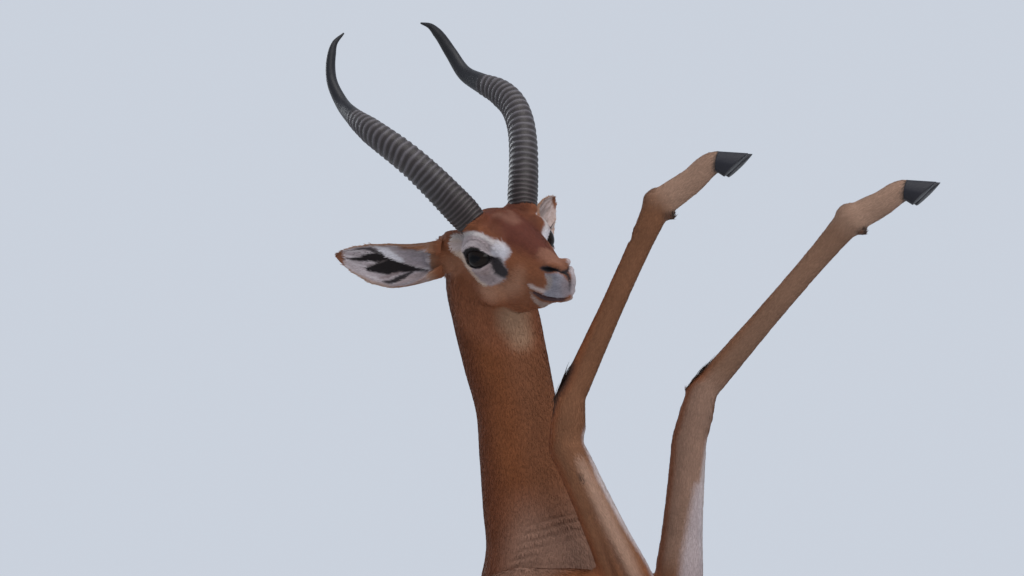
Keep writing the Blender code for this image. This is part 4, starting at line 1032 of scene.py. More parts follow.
def head_marks(color, local):
    """The face's colours, in the head's frame, alike on both sides except a painted highlight on the left
    front of the muzzle, with painted shade in the lid creases and on the forehead.
    """
    h = mirrored(local)
    noise = np.column_stack([waves(local, 0.011, seed) for seed in (1, 2, 3)])
    ragged = h + 0.001 * noise
    far = np.linalg.norm(local, axis=1)
    paint = painter(color, ease((h[:, 0] + 0.125) / 0.03) * ease((0.135 - far) / 0.02))
    paint(np.full(len(h), 0.9), CHEEK)
    for line, widths, soft, strength, tint in FACE_STROKES:
        paint(patch(ragged, line, widths, soft) * strength, tint)
    places = drawn(local) + 0.35 * noise
    face = seen(places)
    orbit = h[:, 0] > -0.058
    places[:, 0] = np.where(orbit, np.maximum(places[:, 0], -60.6), places[:, 0])
    for outline, soft, strength, tint in EYE_AREAS:
        paint(filled(places, outline, soft) * face * strength, tint)
    for line, wide, soft, strength, tint in FACE_LINES:
        paint(patch(places[:, :2], line, (wide, wide), soft) * face * strength, tint)
    for outline, soft, strength, tint in FACE_AREAS:
        ahead = ease((places[:, 2] + 15) / 4) if outline is EYE_DARK else 1
        paint(filled(places, outline, soft) * face * ahead * strength, tint)
    # Painted highlight: a whitish rim of light along the left front of the muzzle and lip, not mirrored
    other = drawn(local, False)
    rim = patch(other[:, :2], LIT_MUZZLE_RIM, (2.2, 2.6, 2.6, 2.0), 1.4) * ease(local[:, 1] / 0.003) * face
    paint(rim * 0.8, (0.4, 0.35, 0.36))
    paint(patch(h, PHILTRUM, (0.0022, 0.002, 0.0016, 0.001), 0.0014) * 0.95, (0.018, 0.016, 0.018))
    speckle = waves(local, 0.0035, 14) > 0.75
    paint(filled(places, LIP_FIELD, 1.0) * face * speckle * 0.35, (0.07, 0.066, 0.08))
    for side in (-1, 1):
        forward, up, far = eye_angles(local, side)
        rim = (far < 0.03) * ease((1.16 - lid_edge(forward, up)) / 0.12)
        paint(rim * (np.abs(forward) < 1.6), DARK)


def ear_marks(color, local):
    """Dark streaks and pale ridges inside the ears, tan outside with a brown tip."""
    for side in (-1, 1):
        root, axis, face, across = ear_frame(side)
        d = local - root
        t = d @ axis / EAR_LENGTH
        half = np.interp(t, EAR_ROWS[:, 0], EAR_ROWS[:, 1])
        cup = np.interp(t, EAR_ROWS[:, 0], EAR_ROWS[:, 2])
        w = -(d @ across - EAR_SAG * np.sin(math.pi * np.clip(t, 0, 1))) / half
        lift = d @ face - cup * (1 - 0.5 * t)
        reach = np.sqrt(w**2 + (np.minimum(lift, 0) / cup) ** 2)
        inside = ease((0.97 - 0.05 * t - reach) / 0.06) * ease((t - 0.11) / 0.03)
        off = np.linalg.norm(d - np.outer(d @ axis, axis), axis=1)
        own = ease((1.25 * half + 0.008 - off) / 0.005) * (side * local[:, 1] > 0.04) * (t < 1.1)
        paint = painter(color, ease((t - 0.02) / 0.12) * own)
        comb = 0.01 * waves(np.column_stack([t * 0.3, w * 2.2, 0 * t]), 0.5, 31)
        plane = np.column_stack([t + comb, w * EAR_ASPECT])
        paint(np.ones(len(t)), (0.25, 0.14, 0.09))
        paint(ease((w - 0.2) / 0.5) * ease((0.6 - t) / 0.3) * 0.6, (0.21, 0.095, 0.052))
        paint(ease((-w - 0.3) / 0.5) * 0.5, (0.33, 0.24, 0.2))
        paint(inside, (0.35, 0.3, 0.315))
        hairs = 0.5 + 0.5 * waves(np.column_stack([t * 0.06, w * 0.14, 0 * t]), 0.02, 32)
        paint(inside * ease((hairs - 0.45) / 0.5) * 0.6, (0.54, 0.49, 0.51))
        clear = 1.0 if side < 0 else FAR_EAR_STRENGTH
        paint(inside * (1 - clear) * 0.6, (0.44, 0.285, 0.2))
        for streak, strength, tint in EAR_STREAKS:
            line = [(a, b * EAR_ASPECT) for a, b, _ in streak]
            steps = np.linspace(0, 1, len(streak))
            widths = np.interp(np.linspace(0, 1, 12), steps, [row[2] for row in streak])
            paint(patch(plane, line, widths, 0.009) * inside * strength * clear, tint)
        freckles = waves(local, 0.0032, 33) > 0.55
        arc = patch(plane, [(0.86, 0.45 * EAR_ASPECT), (0.66, 0.5 * EAR_ASPECT)], (0.02, 0.03), 0.012)
        paint(arc * freckles * inside * 0.7, DARK)
        paint(inside * ease((w - 0.6) / 0.2) * ease((0.46 - t) / 0.12), (0.23, 0.105, 0.06))
        paint(ease((t - 0.91) / 0.04), (0.155, 0.062, 0.034))


def fore_marks(paint, points, leg, s, joints):
    """One foreleg: rufous outside, pinkish inside, pale on the inner rear, with a painted highlight along the
    rear edge, painted shade in the grooves between the tendons, and a dark knee brush.
    """
    elbow, wrist, carpus, fetlock = (np.array(joints[k]) for k in FORE_JOINTS[1:5])
    out = math.copysign(1, elbow[1])
    down = ease((s - 0.22) / 0.08)
    paint(leg * down, TAN)
    line = np.array([elbow, wrist, carpus, fetlock])
    middle = np.interp(points[:, 2], line[:, 2], line[:, 1]) * out
    inner = ease((middle - out * points[:, 1] + 0.004) / 0.01)
    paint(leg * down * inner * 0.85, INNER_TAN)
    along, lower = unit(wrist - elbow), unit(fetlock - carpus)
    rear = unit(np.cross((0, 1, 0), along))
    front = -unit(np.cross((0, 1, 0), lower))
    toe_ward = [mid(carpus, fetlock, t) + front * 0.016 for t in (0.4, 0.9)]
    band = [mid(elbow, wrist, t) - rear * 0.024 for t in (0.0, 0.5, 1.0)] + [carpus - rear * 0.02] + toe_ward
    flank = [mid(elbow, wrist, t) + rear * 0.012 + (0, out * 0.016, 0) for t in (-0.1, 0.3, 0.6, 0.85)]
    rim_highlight = [mid(elbow, wrist, t) + rear * 0.0245 for t in (-0.1, 0.25, 0.6, 0.85, 1.0)]
    inside = [mid(elbow, wrist, t) + rear * 0.02 - (0, out * 0.012, 0) for t in (-0.1, 0.3, 0.7)]
    for line, widths, soft, strength, tint in (
        (band, (0.018, 0.017, 0.018, 0.016, 0.009, 0.006), 0.006, 0.9, (0.2, 0.062, 0.024)),
        (flank, (0.009, 0.009, 0.009, 0.006), 0.006, 0.7, (0.34, 0.215, 0.158)),
        # Painted highlight: a pale rim of light along the rear edge of the forearm
        (rim_highlight, (0.003, 0.004, 0.008, 0.01, 0.004), 0.0035, 0.85, (0.48, 0.42, 0.42)),
        (inside, (0.019, 0.015, 0.006), 0.006, 0.75, (0.4, 0.345, 0.36)),
        # Painted shade: dark lines in the grooves between the forearm's tendons
        *((groove, (0.0034, 0.003, 0.0016), 0.005, 0.85, (0.08, 0.029, 0.015))
          for groove in forearm_lines(joints)),
    ):
        paint(patch(points, line, widths, soft) * leg * strength, tint)
    paint(leg * inner * ease((s - 0.54) / 0.06) * 0.6, (0.16, 0.083, 0.048))
    brush = [carpus + front * 0.014 - lower * 0.026, carpus + front * 0.016,
             mid(carpus, fetlock, 0.13) + front * 0.012]
    brush = [spot + (0, out * 0.006, 0) for spot in brush]
    paint(patch(points, brush, (0.008, 0.012, 0.007), 0.006) * 0.9, (0.036, 0.022, 0.018))
    callus = mid(elbow, wrist, 0.76) + rear * 0.004 + (0, out * 0.018, 0)
    paint(patch(points, [callus, callus + along * 0.005], (0.003, 0.002), 0.002), DARK)
    paint(leg * ease((s - 0.86) / 0.05) * 0.85, (0.3, 0.19, 0.138))


def hind_marks(paint, points, leg, s, joints):
    """One hind leg: tan, with a white inner side and a dark front to the hock."""
    side = math.copysign(1, joints["hip"][1])
    paint(leg * ease((s - 0.1) / 0.1), TAN)
    paint(leg * ease((s - 0.05) / 0.2) * ease((0.62 - s) / 0.2) * 0.4, RUFOUS)
    inner = ease((0.052 - side * points[:, 1]) / 0.02)
    paint(leg * inner * ease((0.62 - s) / 0.1) * 0.8, WHITE)
    hock = np.array(joints["hock"])
    crease = patch(points, [hock + (0.016, 0, -0.01), hock + (0.014, 0, -0.04)], (0.01, 0.006), 0.005)
    paint(leg * crease * 0.7, (0.06, 0.04, 0.034))
    paint(leg * ease((s - 0.92) / 0.04), (0.27, 0.16, 0.105))


def body_marks(points, near, share):
    """The coat's colours on the body, neck, legs and tail."""
    color = np.tile(RUFOUS, (len(points), 1)).astype(float)
    x, z = points[:, 0], points[:, 2]
    paint = painter(color, np.ones(len(points)))

    def zone(name):
        return ease((1.35 - near[ZONES.index(name)]) / 0.3)

    blur = 0.01 * waves(points, 0.09, 5)
    broad = waves(points, 0.15, 6)
    trunk = zone("trunk")
    middle, front, rear = (np.interp(z, [r[2] for r in TRUNK], [r[k] for r in TRUNK]) for k in (0, 3, 4))
    depth = np.where(x > middle, (x - middle) / front, (x - middle) / rear) + blur * 4
    paint(trunk * ease((1.4 - z) / 0.22) * ease((0.02 - depth) / 0.24), SADDLE)
    below = ease((1.36 - z) / 0.08)
    paint(trunk * below * ease((depth - 0.16) / 0.26) * 0.9, TAN)
    paint(trunk * below * ease((depth - 0.66) / 0.12), WHITE)
    neck = zone("neck")
    center = np.interp(z, [r[2] for r in NECK], [r[0] for r in NECK])
    back = (center - x) / 0.045
    paint(neck * ease((back - 0.15) / 0.7) * 0.65, DEEP_RUFOUS)
    paint(neck * ease((-back + 0.1) / 0.8) * 0.35, (0.205, 0.092, 0.052))
    paint(neck * ease((broad - 0.05) / 0.6) * 0.3, DEEP_RUFOUS)
    low = ease((1.54 - z + blur) / 0.08) * ease((z - 1.39) / 0.03) * ease((x + 0.02) / 0.05)
    paint(np.maximum(neck, trunk) * low * 0.85, PINK_TAN)
    for limbs, kind, marks, claws in ((FORE, "_fore", fore_marks, FORE_DEWCLAWS),
                                      (HIND, "_hind", hind_marks, HIND_DEWCLAWS)):
        for name, joints in limbs.items():
            leg = zone(name + kind)
            s = share[ZONES.index(name + kind)]
            marks(paint, points, leg, s, joints)
            hoof, up = hoof_seat(joints)
            paint(ease((0.008 - (points - hoof) @ up) / 0.008) * leg * (s > 0.9), (0.055, 0.045, 0.043))
            spot = np.array(joints["fetlock"]) + claws
            claw = patch(points, [spot - (0, 0.006, 0), spot + (0, 0.006, 0)], (0.0055, 0.0055), 0.003)
            paint(claw * 0.8, (0.045, 0.034, 0.03))
    rump = [(-0.245, 0, 0.8), (-0.235, 0, 0.74), (-0.215, 0, 0.69)]
    rump = patch(points, rump, (0.03, 0.045, 0.04), 0.01)
    paint(rump * ease((near[ZONES.index("tail")] - 0.7) / 0.2) * 0.9, WHITE)
    tail = zone("tail")
    s = share[ZONES.index("tail")]
    paint(tail * ease((s - 0.15) / 0.2), RUFOUS)
    paint(tail * ease((s - 0.72) / 0.15), DARK)
    local = head_space(points)
    near_head = np.linalg.norm(local, axis=1) < 0.25
    spot, picked = color[near_head], local[near_head]
    head_marks(spot, picked)
    ear_marks(spot, picked)
    color[near_head] = spot
    throat = patch(local, [(-0.037, -0.004, -0.084), (-0.032, -0.003, -0.104)], (0.017, 0.013), 0.012)
    paint(throat * 0.75, CREAM)
    shade = 1 + 0.05 * waves(points, 0.05, 8) + 0.04 * waves(points, 0.013, 9)
    return np.clip(color * shade[:, None], 0.004, 0.9)


def tree(name):
    """A new material and a quick way to add linked nodes to it."""
    made = bpy.data.materials.new(name)
    made.use_nodes = True
    nodes, links = made.node_tree.nodes, made.node_tree.links

    def node(kind, **given):
        item = nodes.new(kind)
        for key, value in given.items():
            if key in item.inputs:
                if isinstance(value, bpy.types.NodeSocket):
                    links.new(value, item.inputs[key])
                else:
                    item.inputs[key].default_value = value
            else:
                setattr(item, key, value)
        return item

    return made, nodes["Principled BSDF"], node, links


def matter(name, roughness, grain, bump, stretch=(1, 1, 1), variation=0.12, shine=0.3, color=None):
    """A material from the points' colours or one colour, with noise in tint and relief."""
    made, shader, node, links = tree(name)
    if color is None:
        base = node("ShaderNodeAttribute", attribute_name="Col").outputs["Color"]
    else:
        base = node("ShaderNodeRGB")
        base.outputs[0].default_value = (*color, 1)
        base = base.outputs[0]
    place = node("ShaderNodeTexCoord").outputs["Object"]
    sized = node("ShaderNodeMapping", Vector=place, Scale=stretch)
    fine = node("ShaderNodeTexNoise", Vector=sized.outputs[0], Scale=grain, Detail=4.0, Roughness=0.65)

    def spread(low, high):
        return node("ShaderNodeMapRange", Value=fine.outputs["Fac"], **{"To Min": low, "To Max": high})

    level = spread(1 - variation, 1 + variation)
    mixed = node("ShaderNodeVectorMath", operation="MULTIPLY")
    links.new(base, mixed.inputs[0])
    links.new(level.outputs[0], mixed.inputs[1])
    links.new(mixed.outputs[0], shader.inputs["Base Color"])
    relief = node("ShaderNodeBump", Height=fine.outputs["Fac"], Strength=bump, Distance=0.001)
    links.new(relief.outputs[0], shader.inputs["Normal"])
    rough = spread(max(roughness - 0.08, 0.02), roughness + 0.08)
    links.new(rough.outputs[0], shader.inputs["Roughness"])
    shader.inputs["Specular IOR Level"].default_value = shine
    return made


def dress(item, made, slot_name, *nodes):
    """Give an object its material, hang it on the model, and hide what it replaces; the slot name is not
    used.
    """
    item.data.materials.clear()
    item.data.materials.append(made)
    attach(item, "root")
    if nodes:
        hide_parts(*nodes)
    return item


def coat_piece(name, skin, faces, count, zone_name, made, slot_name):
    """Leaf-shaped tufts on some of the skin's faces, lying along the coat."""
    a, b, c = (skin["verts"][skin["tris"][faces][:, k]] for k in range(3))
    area = np.linalg.norm(np.cross(b - a, c - a), axis=1) / 2
    size = skin["length"][skin["tris"][faces]].mean(1)
    width = skin["width"][skin["tris"][faces]].mean(1)
    weight = area / (size * width)
    picked = faces[RNG.choice(len(faces), count, p=weight / weight.sum())]
    r1, r2 = np.sqrt(RNG.random(count)), RNG.random(count)
    share = np.stack([1 - r1, r1 * (1 - r2), r1 * r2], 1)

    def read(values):
        return (values[skin["tris"][picked]] * share[..., None]).sum(1)

    root = read(skin["verts"])
    out = unit(read(skin["out"]))
    line = unit(read(skin["flow"]))
    line = unit(line - (line * out).sum(1, keepdims=True) * out)
    side = np.cross(out, line)
    line = unit(line + side * RNG.normal(0, 0.16, (count, 1)))
    side = np.cross(out, line)
    size = read(skin["length"][:, None]) * RNG.uniform(0.7, 1.25, (count, 1))
    half = read(skin["width"][:, None]) / 2 * RNG.uniform(0.7, 1.3, (count, 1))
    rise = read(skin["rise"][:, None]) * RNG.uniform(0.5, 1.3, (count, 1))
    back = root - out * 0.0006
    belly = root + line * size * 0.38 + out * rise * 0.75
    tip = root + line * size + out * rise
    verts = np.stack([back, belly + side * half, belly - side * half, tip], 1).reshape(-1, 3)
    base = np.arange(count)[:, None] * 4
    tris = np.stack([base + corners for corners in ((0, 1, 2), (1, 3, 2), (0, 3, 1), (0, 2, 3))], 1)
    tris = tris.reshape(-1, 3)
    tint = read(skin["color"]) * RNG.normal(1.0, 0.055, (count, 1))
    shades = np.stack([tint * 0.9, tint, tint, tint * 1.07], 1).reshape(-1, 3)
    place = unwrap(root, zone_name)
    corner = np.array([(-1, -1), (1, -1), (0, 1)]) * 0.0015
    uv = place[:, None, None, :] + corner[None, None] + np.zeros((count, 4, 1, 1))
    item = put_mesh(name, verts, tris, np.clip(shades, 0.003, 0.95), False, uv.reshape(-1, 2))
    return dress(item, made, slot_name)


def unwrap(points, zone_name):
    """Places on a map: round the chain one way and along it the other."""
    chain = CHAINS[zone_name]
    _, share, way = to_path(points, chain)
    middle = np.stack([np.interp(share, knots_of(chain), chain[:, k]) for k in range(3)], 1)
    away = points - middle
    first = unit(np.cross(way, (0.05, 1.0, 0.02)))
    second = np.cross(way, first)
    angle = np.arctan2((away * first).sum(1), (away * second).sum(1))
    return np.column_stack([0.5 + 0.49 * angle / math.pi, 0.01 + 0.98 * share])


def prepare_skin():
    """The finished skin with everything that the coat reads from it."""
    verts, tris = build_skin()
    for _ in range(3):
        verts, tris = refine(verts, tris, detail(verts))
    local = head_space(verts)
    seam = np.zeros(len(verts))
    for side in (-1, 1):
        root, axis, _, _ = ear_frame(side)
        t = (local - root) @ axis / EAR_LENGTH
        round_root = np.linalg.norm(local - root - axis * EAR_LENGTH * 0.06, axis=1)
        seam = np.maximum(seam, 0.5 * ease((0.03 - round_root) / 0.012) * (t < 0.3))
    verts = soften(verts, tris, seam, 10)
    verts, plain, bare = sculpt(verts, tris)
    near, share, way = zones(verts)
    out = normals(verts, tris)
    zone = np.argmin(near, axis=0)
    color = body_marks(plain, near, share)
    length, width, rise = (np.full(len(verts), size) for size in BODY_TUFT)
    for name, start, (size, wide, high) in TUFTS:
        there = (zone == ZONES.index(name)) & (share[ZONES.index(name)] >= start)
        length[there], width[there], rise[there] = size, wide, high
    muzzle = ease((head_space(verts)[:, 0] - 0.055) / 0.04) * (zone == 0)
    length = length * (1 - 0.45 * muzzle)
    rise = rise * (1 - 0.4 * muzzle)
    return {
        "verts": verts, "tris": tris, "out": out, "zone": zone, "color": color, "bare": bare,
        "length": length, "width": width, "rise": rise, "flow": flow(out, near, way),
    }


def build_coat(skin, made):
    """The coat in pieces, by the part of the body that it covers."""
    hairy = skin["bare"][skin["tris"]].max(1) < 0.5
    first = skin["zone"][skin["tris"][:, 0]]
    left = skin["verts"][skin["tris"][:, 0], 1] > 0
    for zone_name, half, count, slot_name in COAT_PLAN:
        chosen = hairy & (first == ZONES.index(zone_name))
        name = zone_name + "_coat"
        if half is not None:
            chosen &= left == half
            name = ("left_" if half else "right_") + name
        coat_piece(name, skin, np.flatnonzero(chosen), count, zone_name, made, slot_name)


def build_eye(name, side, made):
    """One eyeball with a clear bulge, an oblong pupil and a dark iris."""
    verts, faces = ball((0, 0, 0), (1, 1, 1), 64)
    verts = np.column_stack([verts[:, 2], verts[:, 0], verts[:, 1]])
    away = np.arccos(np.clip(verts[:, 0], -1, 1))
    verts = verts * (EYE_RADIUS + 0.0009 * ease((0.75 - away) / 0.5))[:, None]
    oblong = np.hypot(verts[:, 1] / 0.0078, verts[:, 2] / 0.004)
    iris = np.linalg.norm(verts[:, 1:], axis=1) / 0.0135
    color = np.tile((0.007, 0.004, 0.003), (len(verts), 1))
    color = np.where((oblong < 1)[:, None], (0.002, 0.002, 0.003), color)
    color = np.where((iris > 1)[:, None], (0.004, 0.003, 0.003), color)
    item = make_object(name + "_ball", [(carry(verts, HEAD @ eye_frame(side)), faces)])
    item.data.shade_smooth()
    paint_points(item.data, color)
    return dress(item, made, "eye", name)


def build_horn(name, side, made):
    """One ringed horn with a smooth dark tip."""
    where = np.concatenate([np.linspace(0, HORN_RINGED, 540), np.linspace(HORN_RINGED, 1, 70)[1:]])
    bend = np.clip((where - HORN_TIP_FROM) / (1 - HORN_TIP_FROM), 0, 1)[:, None] ** 1.5
    middle = curve(HORN, where) + bend * np.array(HORN_TIP_SHIFT[side])
    half = np.interp(where, *zip(*HORN_TAPER))
    along = unit(np.gradient(middle, axis=0))
    across = unit(np.cross(along, (0.3, 0.2, 1.0)) + 1e-9)
    front = np.cross(along, across)
    around = np.arange(40) * 2 * math.pi / 40
    c, s = np.cos(around), np.sin(around)
    tilt = 0.22 * c[None, :] * (0.6 + 0.4 * where[:, None])
    phase = np.clip(where / HORN_RINGED, 0, 1) ** (1 / 1.35) * HORN_RINGS
    spread = middle[:, None] + half[:, None, None] * (c[:, None] * (1, 0, 0) + s[:, None] * (0, 1, 0))
    tilt = tilt + 0.13 * waves(spread.reshape(-1, 3), 0.035, 22).reshape(tilt.shape)
    swell = (0.5 + 0.5 * np.cos(2 * math.pi * (phase[:, None] + tilt))) ** 2.0
    fade = ease((HORN_RINGED - 0.005 - where) / 0.05)[:, None]
    thick = np.interp(where, (0, 0.15, 0.35, 1), (0.45, 0.6, 1.0, 1.0))[:, None]
    depth = HORN_RIDGE * (0.85 + 0.25 * c[None, :]) * thick * np.minimum(1, half / 0.016)[:, None]
    size = half[:, None] + (swell - 0.55) * depth * fade
    rings = (
        middle[:, None]
        + (size * c * 1.0)[..., None] * front[:, None]
        + (size * s * HORN_FLATNESS)[..., None] * across[:, None]
    )
    ends = np.array([middle[0], middle[-1] + along[-1] * 0.0006])
    grit = 0.5 + 0.5 * waves(rings.reshape(-1, 3), 0.006, 21)
    tone = (swell * fade).ravel()
    crest, groove = np.array((0.098, 0.088, 0.098)), np.array((0.024, 0.019, 0.019))
    tip = np.array((0.011, 0.011, 0.014))
    color = groove + (crest - groove) * (tone * (0.7 + 0.3 * grit))[:, None]
    color = color * np.repeat(np.interp(where, (0, 0.12, 0.3), (0.45, 0.6, 1.0)), 40)[:, None]
    low = np.repeat(ease((0.22 - where) / 0.2), 40)[:, None]
    color = color * (1 - 0.4 * low * (0.0, 0.45, 0.6))
    plain = np.repeat(1 - fade, 40, axis=1).ravel()[:, None]
    color = color * (1 - plain) + tip * (0.9 + 0.2 * grit[:, None]) * plain
    verts, faces = tube(rings, ends)
    if side < 0:
        verts = verts * (1, -1, 1)
    item = make_object(name + "_ringed", [(carry(verts, HEAD), faces)])
    item.data.shade_smooth()
    color = np.concatenate([color, color[:1], color[-1:]])
    paint_points(item.data, color)
    return dress(item, made, "horn", name)


def build_toe(name, joints, side, made):
    """One hoof, rounded at the wall, with a flat sole."""
    sole = HOOF_SOLE, -HOOF_HEIGHT
    top = joints["hoof_top"]
    angle = np.arange(56) * 2 * math.pi / 56
    c, s = np.cos(angle), np.sin(angle)
    rings = []
    for t in np.concatenate([[0, 0.015, 0.04], np.linspace(0.08, 1, 20)]):
        swell = np.interp(t, (0, 0.015, 0.04, 0.12, 0.5, 1), (0.9, 0.95, 0.98, 1.0, 0.97, 0.88))
        swell += 0.006 * math.sin(t * 40)
        front = np.array((sole[0][0], sole[1])) * (1 - t) + np.array(top[0]) * t
        back = np.array((sole[0][1], sole[1])) * (1 - t) + np.array(top[1]) * t
        spot = np.outer((1 + c) / 2, front) + np.outer((1 - c) / 2, back)
        width = TOE_HALF_WIDTH * swell * s * (1 - 0.32 * np.maximum(c, 0))
        place = side * TOE_OFFSET * (0.94 - 0.08 * t)
        rings.append(np.stack([spot[:, 0], place + width, spot[:, 1]], axis=1))
    rings = np.array(rings)
    shell = tube(rings, [rings[0].mean(0), rings[-1].mean(0)])
    item = make_object(name + "_horny", [(carry(shell[0], foot_frame(joints)), shell[1])])
    item.data.shade_smooth()
    return dress(item, made, "hoof", name)


def locks(roots, ways, lifts, length, half, bends):
    """Tapered closed locks of four rings of three sides each."""
    verts, faces = [], []
    for root, way, lift, size, wide, bend in zip(roots, ways, lifts, length, half, bends):
        side = unit(np.cross(way, lift))
        start = len(verts)
        for t in (0, 0.33, 0.66):
            place = root + way * size * t + bend * t * t
            r = wide * (1 - t) ** 0.6
            verts += [place + side * r, place - side * r, place + unit(lift) * r * 0.5]
        verts.append(root + way * size + bend)
        faces.append((start, start + 1, start + 2))
        for k in (0, 3):
            for j in range(3):
                i = (j + 1) % 3
                faces.append((start + k + j, start + k + i, start + k + 3 + i))
                faces.append((start + k + j, start + k + 3 + i, start + k + 3 + j))
        for j in range(3):
            faces.append((start + 6 + j, start + 6 + (j + 1) % 3, start + 9))
    return np.array(verts), faces


def add_locks(name, roots, ways, lifts, length, half, bends, color, made, slot_name, *nodes):
    """An object of locks in one colour that varies from lock to lock."""
    verts, faces = locks(roots, ways, lifts, length, half, bends)
    item = make_object(name, [(verts, faces)])
    tint = np.repeat(RNG.uniform(0.7, 1.35, len(roots)), 10)[:, None] * np.array(color)
    paint_points(item.data, tint)
    uv = item.data.uv_layers.new(name="OFBake")
    own = np.zeros(len(item.data.loops), np.int32)
    item.data.loops.foreach_get("vertex_index", own)
    number = own // 10
    columns = math.ceil(math.sqrt(len(roots)))
    cell = np.column_stack([number % columns, number // columns]) / columns
    spot = cell + (np.column_stack([own % 3, own % 10 // 3]) / 4 + 0.1) / columns
    uv.data.foreach_set("uv", spot.astype(np.float32).ravel())
    return dress(item, made, slot_name, *nodes)


def build_tail_tuft(made):
    """The black tuft at the tail's end, as long curved locks."""
    count = 420
    turn = RNG.uniform(0, 2 * math.pi, count)
    high = RNG.uniform(-0.034, 0.004, count)
    out = np.column_stack([np.cos(turn), np.sin(turn), np.zeros(count)])
    far = RNG.uniform(0.001, 0.0062, (count, 1))
    roots = TAIL_END + out * far + np.column_stack([0 * high, 0 * high, high])
    ways = unit(out * RNG.uniform(0.06, 0.22, (count, 1)) - (0, 0, 1))
    size = RNG.uniform(0.055, 0.095, count)
    bends = -out * RNG.uniform(0.002, 0.012, (count, 1))
    add_locks("tail_tuft_hair", roots, ways, out, size, RNG.uniform(0.0009, 0.0017, count), bends,
              (0.03, 0.023, 0.02), made, "dark_hair", "tail_tuft")


def build_knee_brush(name, joints, made):
    """The dark brush of longer hair in front of a knee."""
    carpus, fetlock = np.array(joints["carpus"]), np.array(joints["fetlock"])
    down = unit(fetlock - carpus)
    front = np.array((-down[2], 0, down[0]))
    count = 130
    share = RNG.uniform(-0.012, 0.022, count)[:, None]
    wide = RNG.uniform(-0.012, 0.012, count)
    roots = carpus + down * share + front * (0.0155 - 0.06 * wide[:, None] ** 2 / 0.012)
    roots = roots + np.column_stack([0 * wide, wide, 0 * wide])
    ways = unit(down * 0.97 + front * RNG.uniform(0.02, 0.17, (count, 1)) + np.outer(wide * 12, (0, 1, 0)))
    lifts = np.tile(front, (count, 1))
    size = RNG.uniform(0.011, 0.022, count)
    bends = down * RNG.uniform(0, 0.003, (count, 1)) - front * RNG.uniform(0.001, 0.004, (count, 1))
    add_locks(name + "_knee_brush", roots, ways, lifts, size, RNG.uniform(0.0005, 0.001, count), bends,
              (0.034, 0.022, 0.019), made, "dark_hair")


def build_lashes(name, side, made):
    """Upper lashes, short and curved, set on the edge of the lid."""
    count = 26
    roots, ways, lifts = [], [], []
    for k in range(count):
        f = -0.62 + 1.1 * k / (count - 1)
        up = 0.0
        while lid_edge(np.array([f]), np.array([up]))[0] < 1.08:
            up += 0.01
        away = np.array((math.cos(up) * math.cos(f), -side * math.cos(up) * math.sin(f), math.sin(up)))
        roots.append(away * (EYE_RADIUS + 0.0022))
        ways.append(unit(away + (0, -side * f * 0.3, -0.1)))
        lifts.append((0, 0, 1))
    place = HEAD @ eye_frame(side)
    turn = np.array(place)[:3, :3]
    bends = np.tile((0.0, 0.0, 0.003), (count, 1)) @ turn.T
    add_locks(name + "_lashes", carry(roots, place), np.array(ways) @ turn.T, np.array(lifts) @ turn.T,
              RNG.uniform(0.006, 0.0095, count), np.full(count, 0.00028), bends, (0.012, 0.01, 0.01),
              made, "dark_hair")


def wood():
    """Oiled wood with grain along the stand."""
    made, shader, node, links = tree("stand_oiled_wood")
    place = node("ShaderNodeTexCoord").outputs["Object"]
    long = node("ShaderNodeMapping", Vector=place, Scale=(1.2, 9.0, 9.0))
    broad = node("ShaderNodeTexNoise", Vector=long.outputs[0], Scale=3.0, Detail=5.0, Distortion=1.2)
    fine = node("ShaderNodeTexNoise", Vector=long.outputs[0], Scale=38.0, Detail=6.0)
    both = node("ShaderNodeMath", operation="MULTIPLY_ADD")
    links.new(fine.outputs["Fac"], both.inputs[0])
    both.inputs[1].default_value = 0.35
    links.new(broad.outputs["Fac"], both.inputs[2])
    ramp = node("ShaderNodeValToRGB", Fac=both.outputs[0])
    ramp.color_ramp.elements[0].position, ramp.color_ramp.elements[1].position = 0.42, 0.92
    ramp.color_ramp.elements[0].color = (0.15, 0.075, 0.035, 1)
    ramp.color_ramp.elements[1].color = (0.36, 0.215, 0.115, 1)
    links.new(ramp.outputs[0], shader.inputs["Base Color"])
    relief = node("ShaderNodeBump", Height=fine.outputs["Fac"], Strength=0.25, Distance=0.0006)
    links.new(relief.outputs[0], shader.inputs["Normal"])
    shader.inputs["Roughness"].default_value = 0.38
    return made


def area_light(name, place, target, size, power, color):
    """A large soft light that faces a point."""
    lamp = bpy.data.lights.new(name, "AREA")
    lamp.size = size
    lamp.energy = power
    lamp.color = color
    item = add(name, lamp)
    item.location = place
    item.rotation_euler = (Vector(target) - Vector(place)).to_track_quat("-Z", "Y").to_euler()


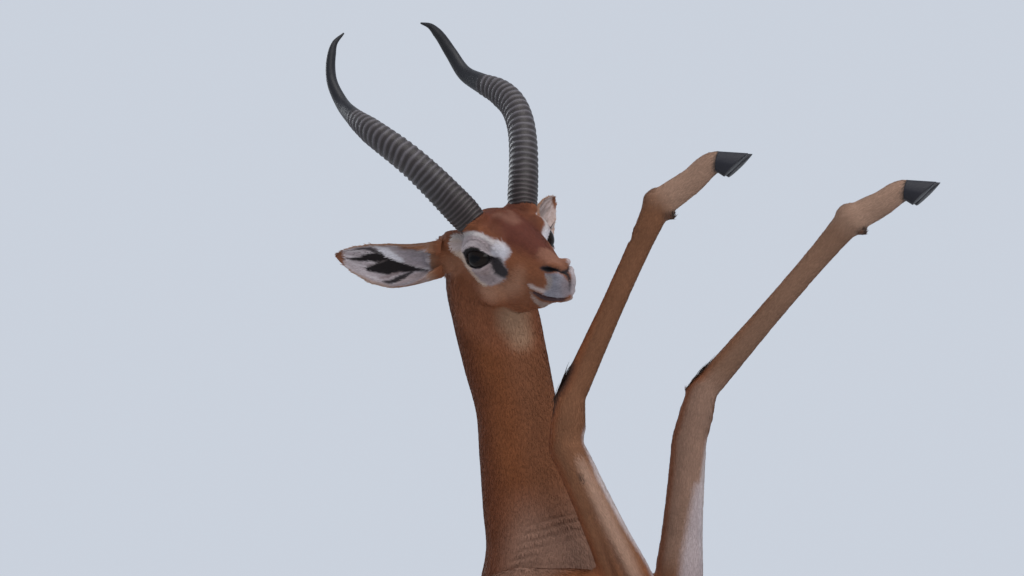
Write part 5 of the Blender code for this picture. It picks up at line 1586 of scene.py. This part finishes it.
def build_studio():
    """Pale floor, soft light all round, and the photo's view."""
    made, shader = tree("pale_floor")[:2]
    shader.inputs["Base Color"].default_value = (0.74, 0.74, 0.73, 1)
    shader.inputs["Roughness"].default_value = 0.7
    mesh = bpy.data.meshes.new("floor")
    mesh.from_pydata([(-40, -40, 0), (40, -40, 0), (40, 40, 0), (-40, 40, 0)], [], [(0, 1, 2, 3)])
    floor = add("floor", mesh)
    mesh.materials.append(made)
    world = bpy.data.worlds.new("studio")
    bpy.context.scene.world = world
    world.use_nodes = True
    sky = world.node_tree.nodes["Background"]
    sky.inputs[0].default_value = (0.74, 0.8, 0.9, 1)
    sky.inputs[1].default_value = 0.8
    area_light("overhead", (1.0, -1.2, 4.6), (0.05, 0, 1.5), 3.0, 95, (1.0, 0.98, 0.95))
    area_light("front_right", (3.4, -3.6, 2.6), (0.05, 0, 1.6), 2.2, 60, (1.0, 0.97, 0.93))
    area_light("behind_left", (-3.0, 2.6, 3.0), (0.0, 0, 1.4), 2.0, 50, (0.92, 0.96, 1.0))
    lens = bpy.data.cameras.new("view")
    lens.lens = CAMERA_LENS
    lens.sensor_width = 36
    lens.clip_end = 200
    camera = add("view", lens)
    azimuth, elevation = math.radians(CAMERA_AZIMUTH), math.radians(CAMERA_ELEVATION)
    away = Vector((math.sin(azimuth) * math.cos(elevation), -math.cos(azimuth) * math.cos(elevation),
                   math.sin(elevation)))
    camera.location = Vector(CAMERA_AIM) + away * CAMERA_AWAY
    camera.rotation_euler = (-away).to_track_quat("-Z", "Y").to_euler()
    bpy.context.scene.camera = camera
    bpy.context.scene.view_settings.view_transform = "Standard"


LIMBS = ("ear", "forearm", "fore_cannon", "fore_pastern", "thigh", "shank", "hind_cannon", "hind_pastern")
FLESH = ["head", "neck", "torso", "tail"] + [f"{side}_{part}" for side in ("left", "right") for part in LIMBS]


def build():
    """Everything that shows."""
    skin_matter = matter("skin_short_hair", 0.68, 900, 0.5, (1, 1, 0.35), 0.16, shine=0.12)
    coat_matter = matter("coat_hair", 0.66, 500, 0.1, (1, 1, 0.5), 0.1, shine=0.12)
    hair_matter = matter("dark_locks", 0.5, 600, 0.2, (1, 1, 0.3), 0.15, shine=0.15)
    horn_matter = matter("horn_ringed", 0.45, 700, 0.35, (1, 1, 0.4), 0.15, shine=0.28)
    hoof_matter = matter("hoof_satin", 0.42, 420, 0.25, (1, 1, 3.0), 0.22, shine=0.2,
                         color=(0.015, 0.015, 0.02))
    eye_matter = matter("eye_wet", 0.08, 200, 0.0, variation=0.05, shine=0.11)
    skin = prepare_skin()
    item = put_mesh("skin", skin["verts"], skin["tris"], skin["color"] * 0.86)
    dress(item, skin_matter, "coat", *FLESH)
    build_coat(skin, coat_matter)
    for name, side in (("right", -1), ("left", 1)):
        build_eye(name + "_eye", side, eye_matter)
        build_lashes(name + "_eye", side, hair_matter)
        build_horn(name + "_horn", side, horn_matter)
        build_knee_brush(name, FORE[name], hair_matter)
        for limb_name, joints in (("fore", FORE[name]), ("hind", HIND[name])):
            build_toe(f"{name}_{limb_name}_hoof_right", joints, -1, hoof_matter)
            build_toe(f"{name}_{limb_name}_hoof_left", joints, 1, hoof_matter)
    build_tail_tuft(hair_matter)
    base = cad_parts["stand_base"]
    base.data.materials.clear()
    base.data.materials.append(wood())
    build_studio()


build()
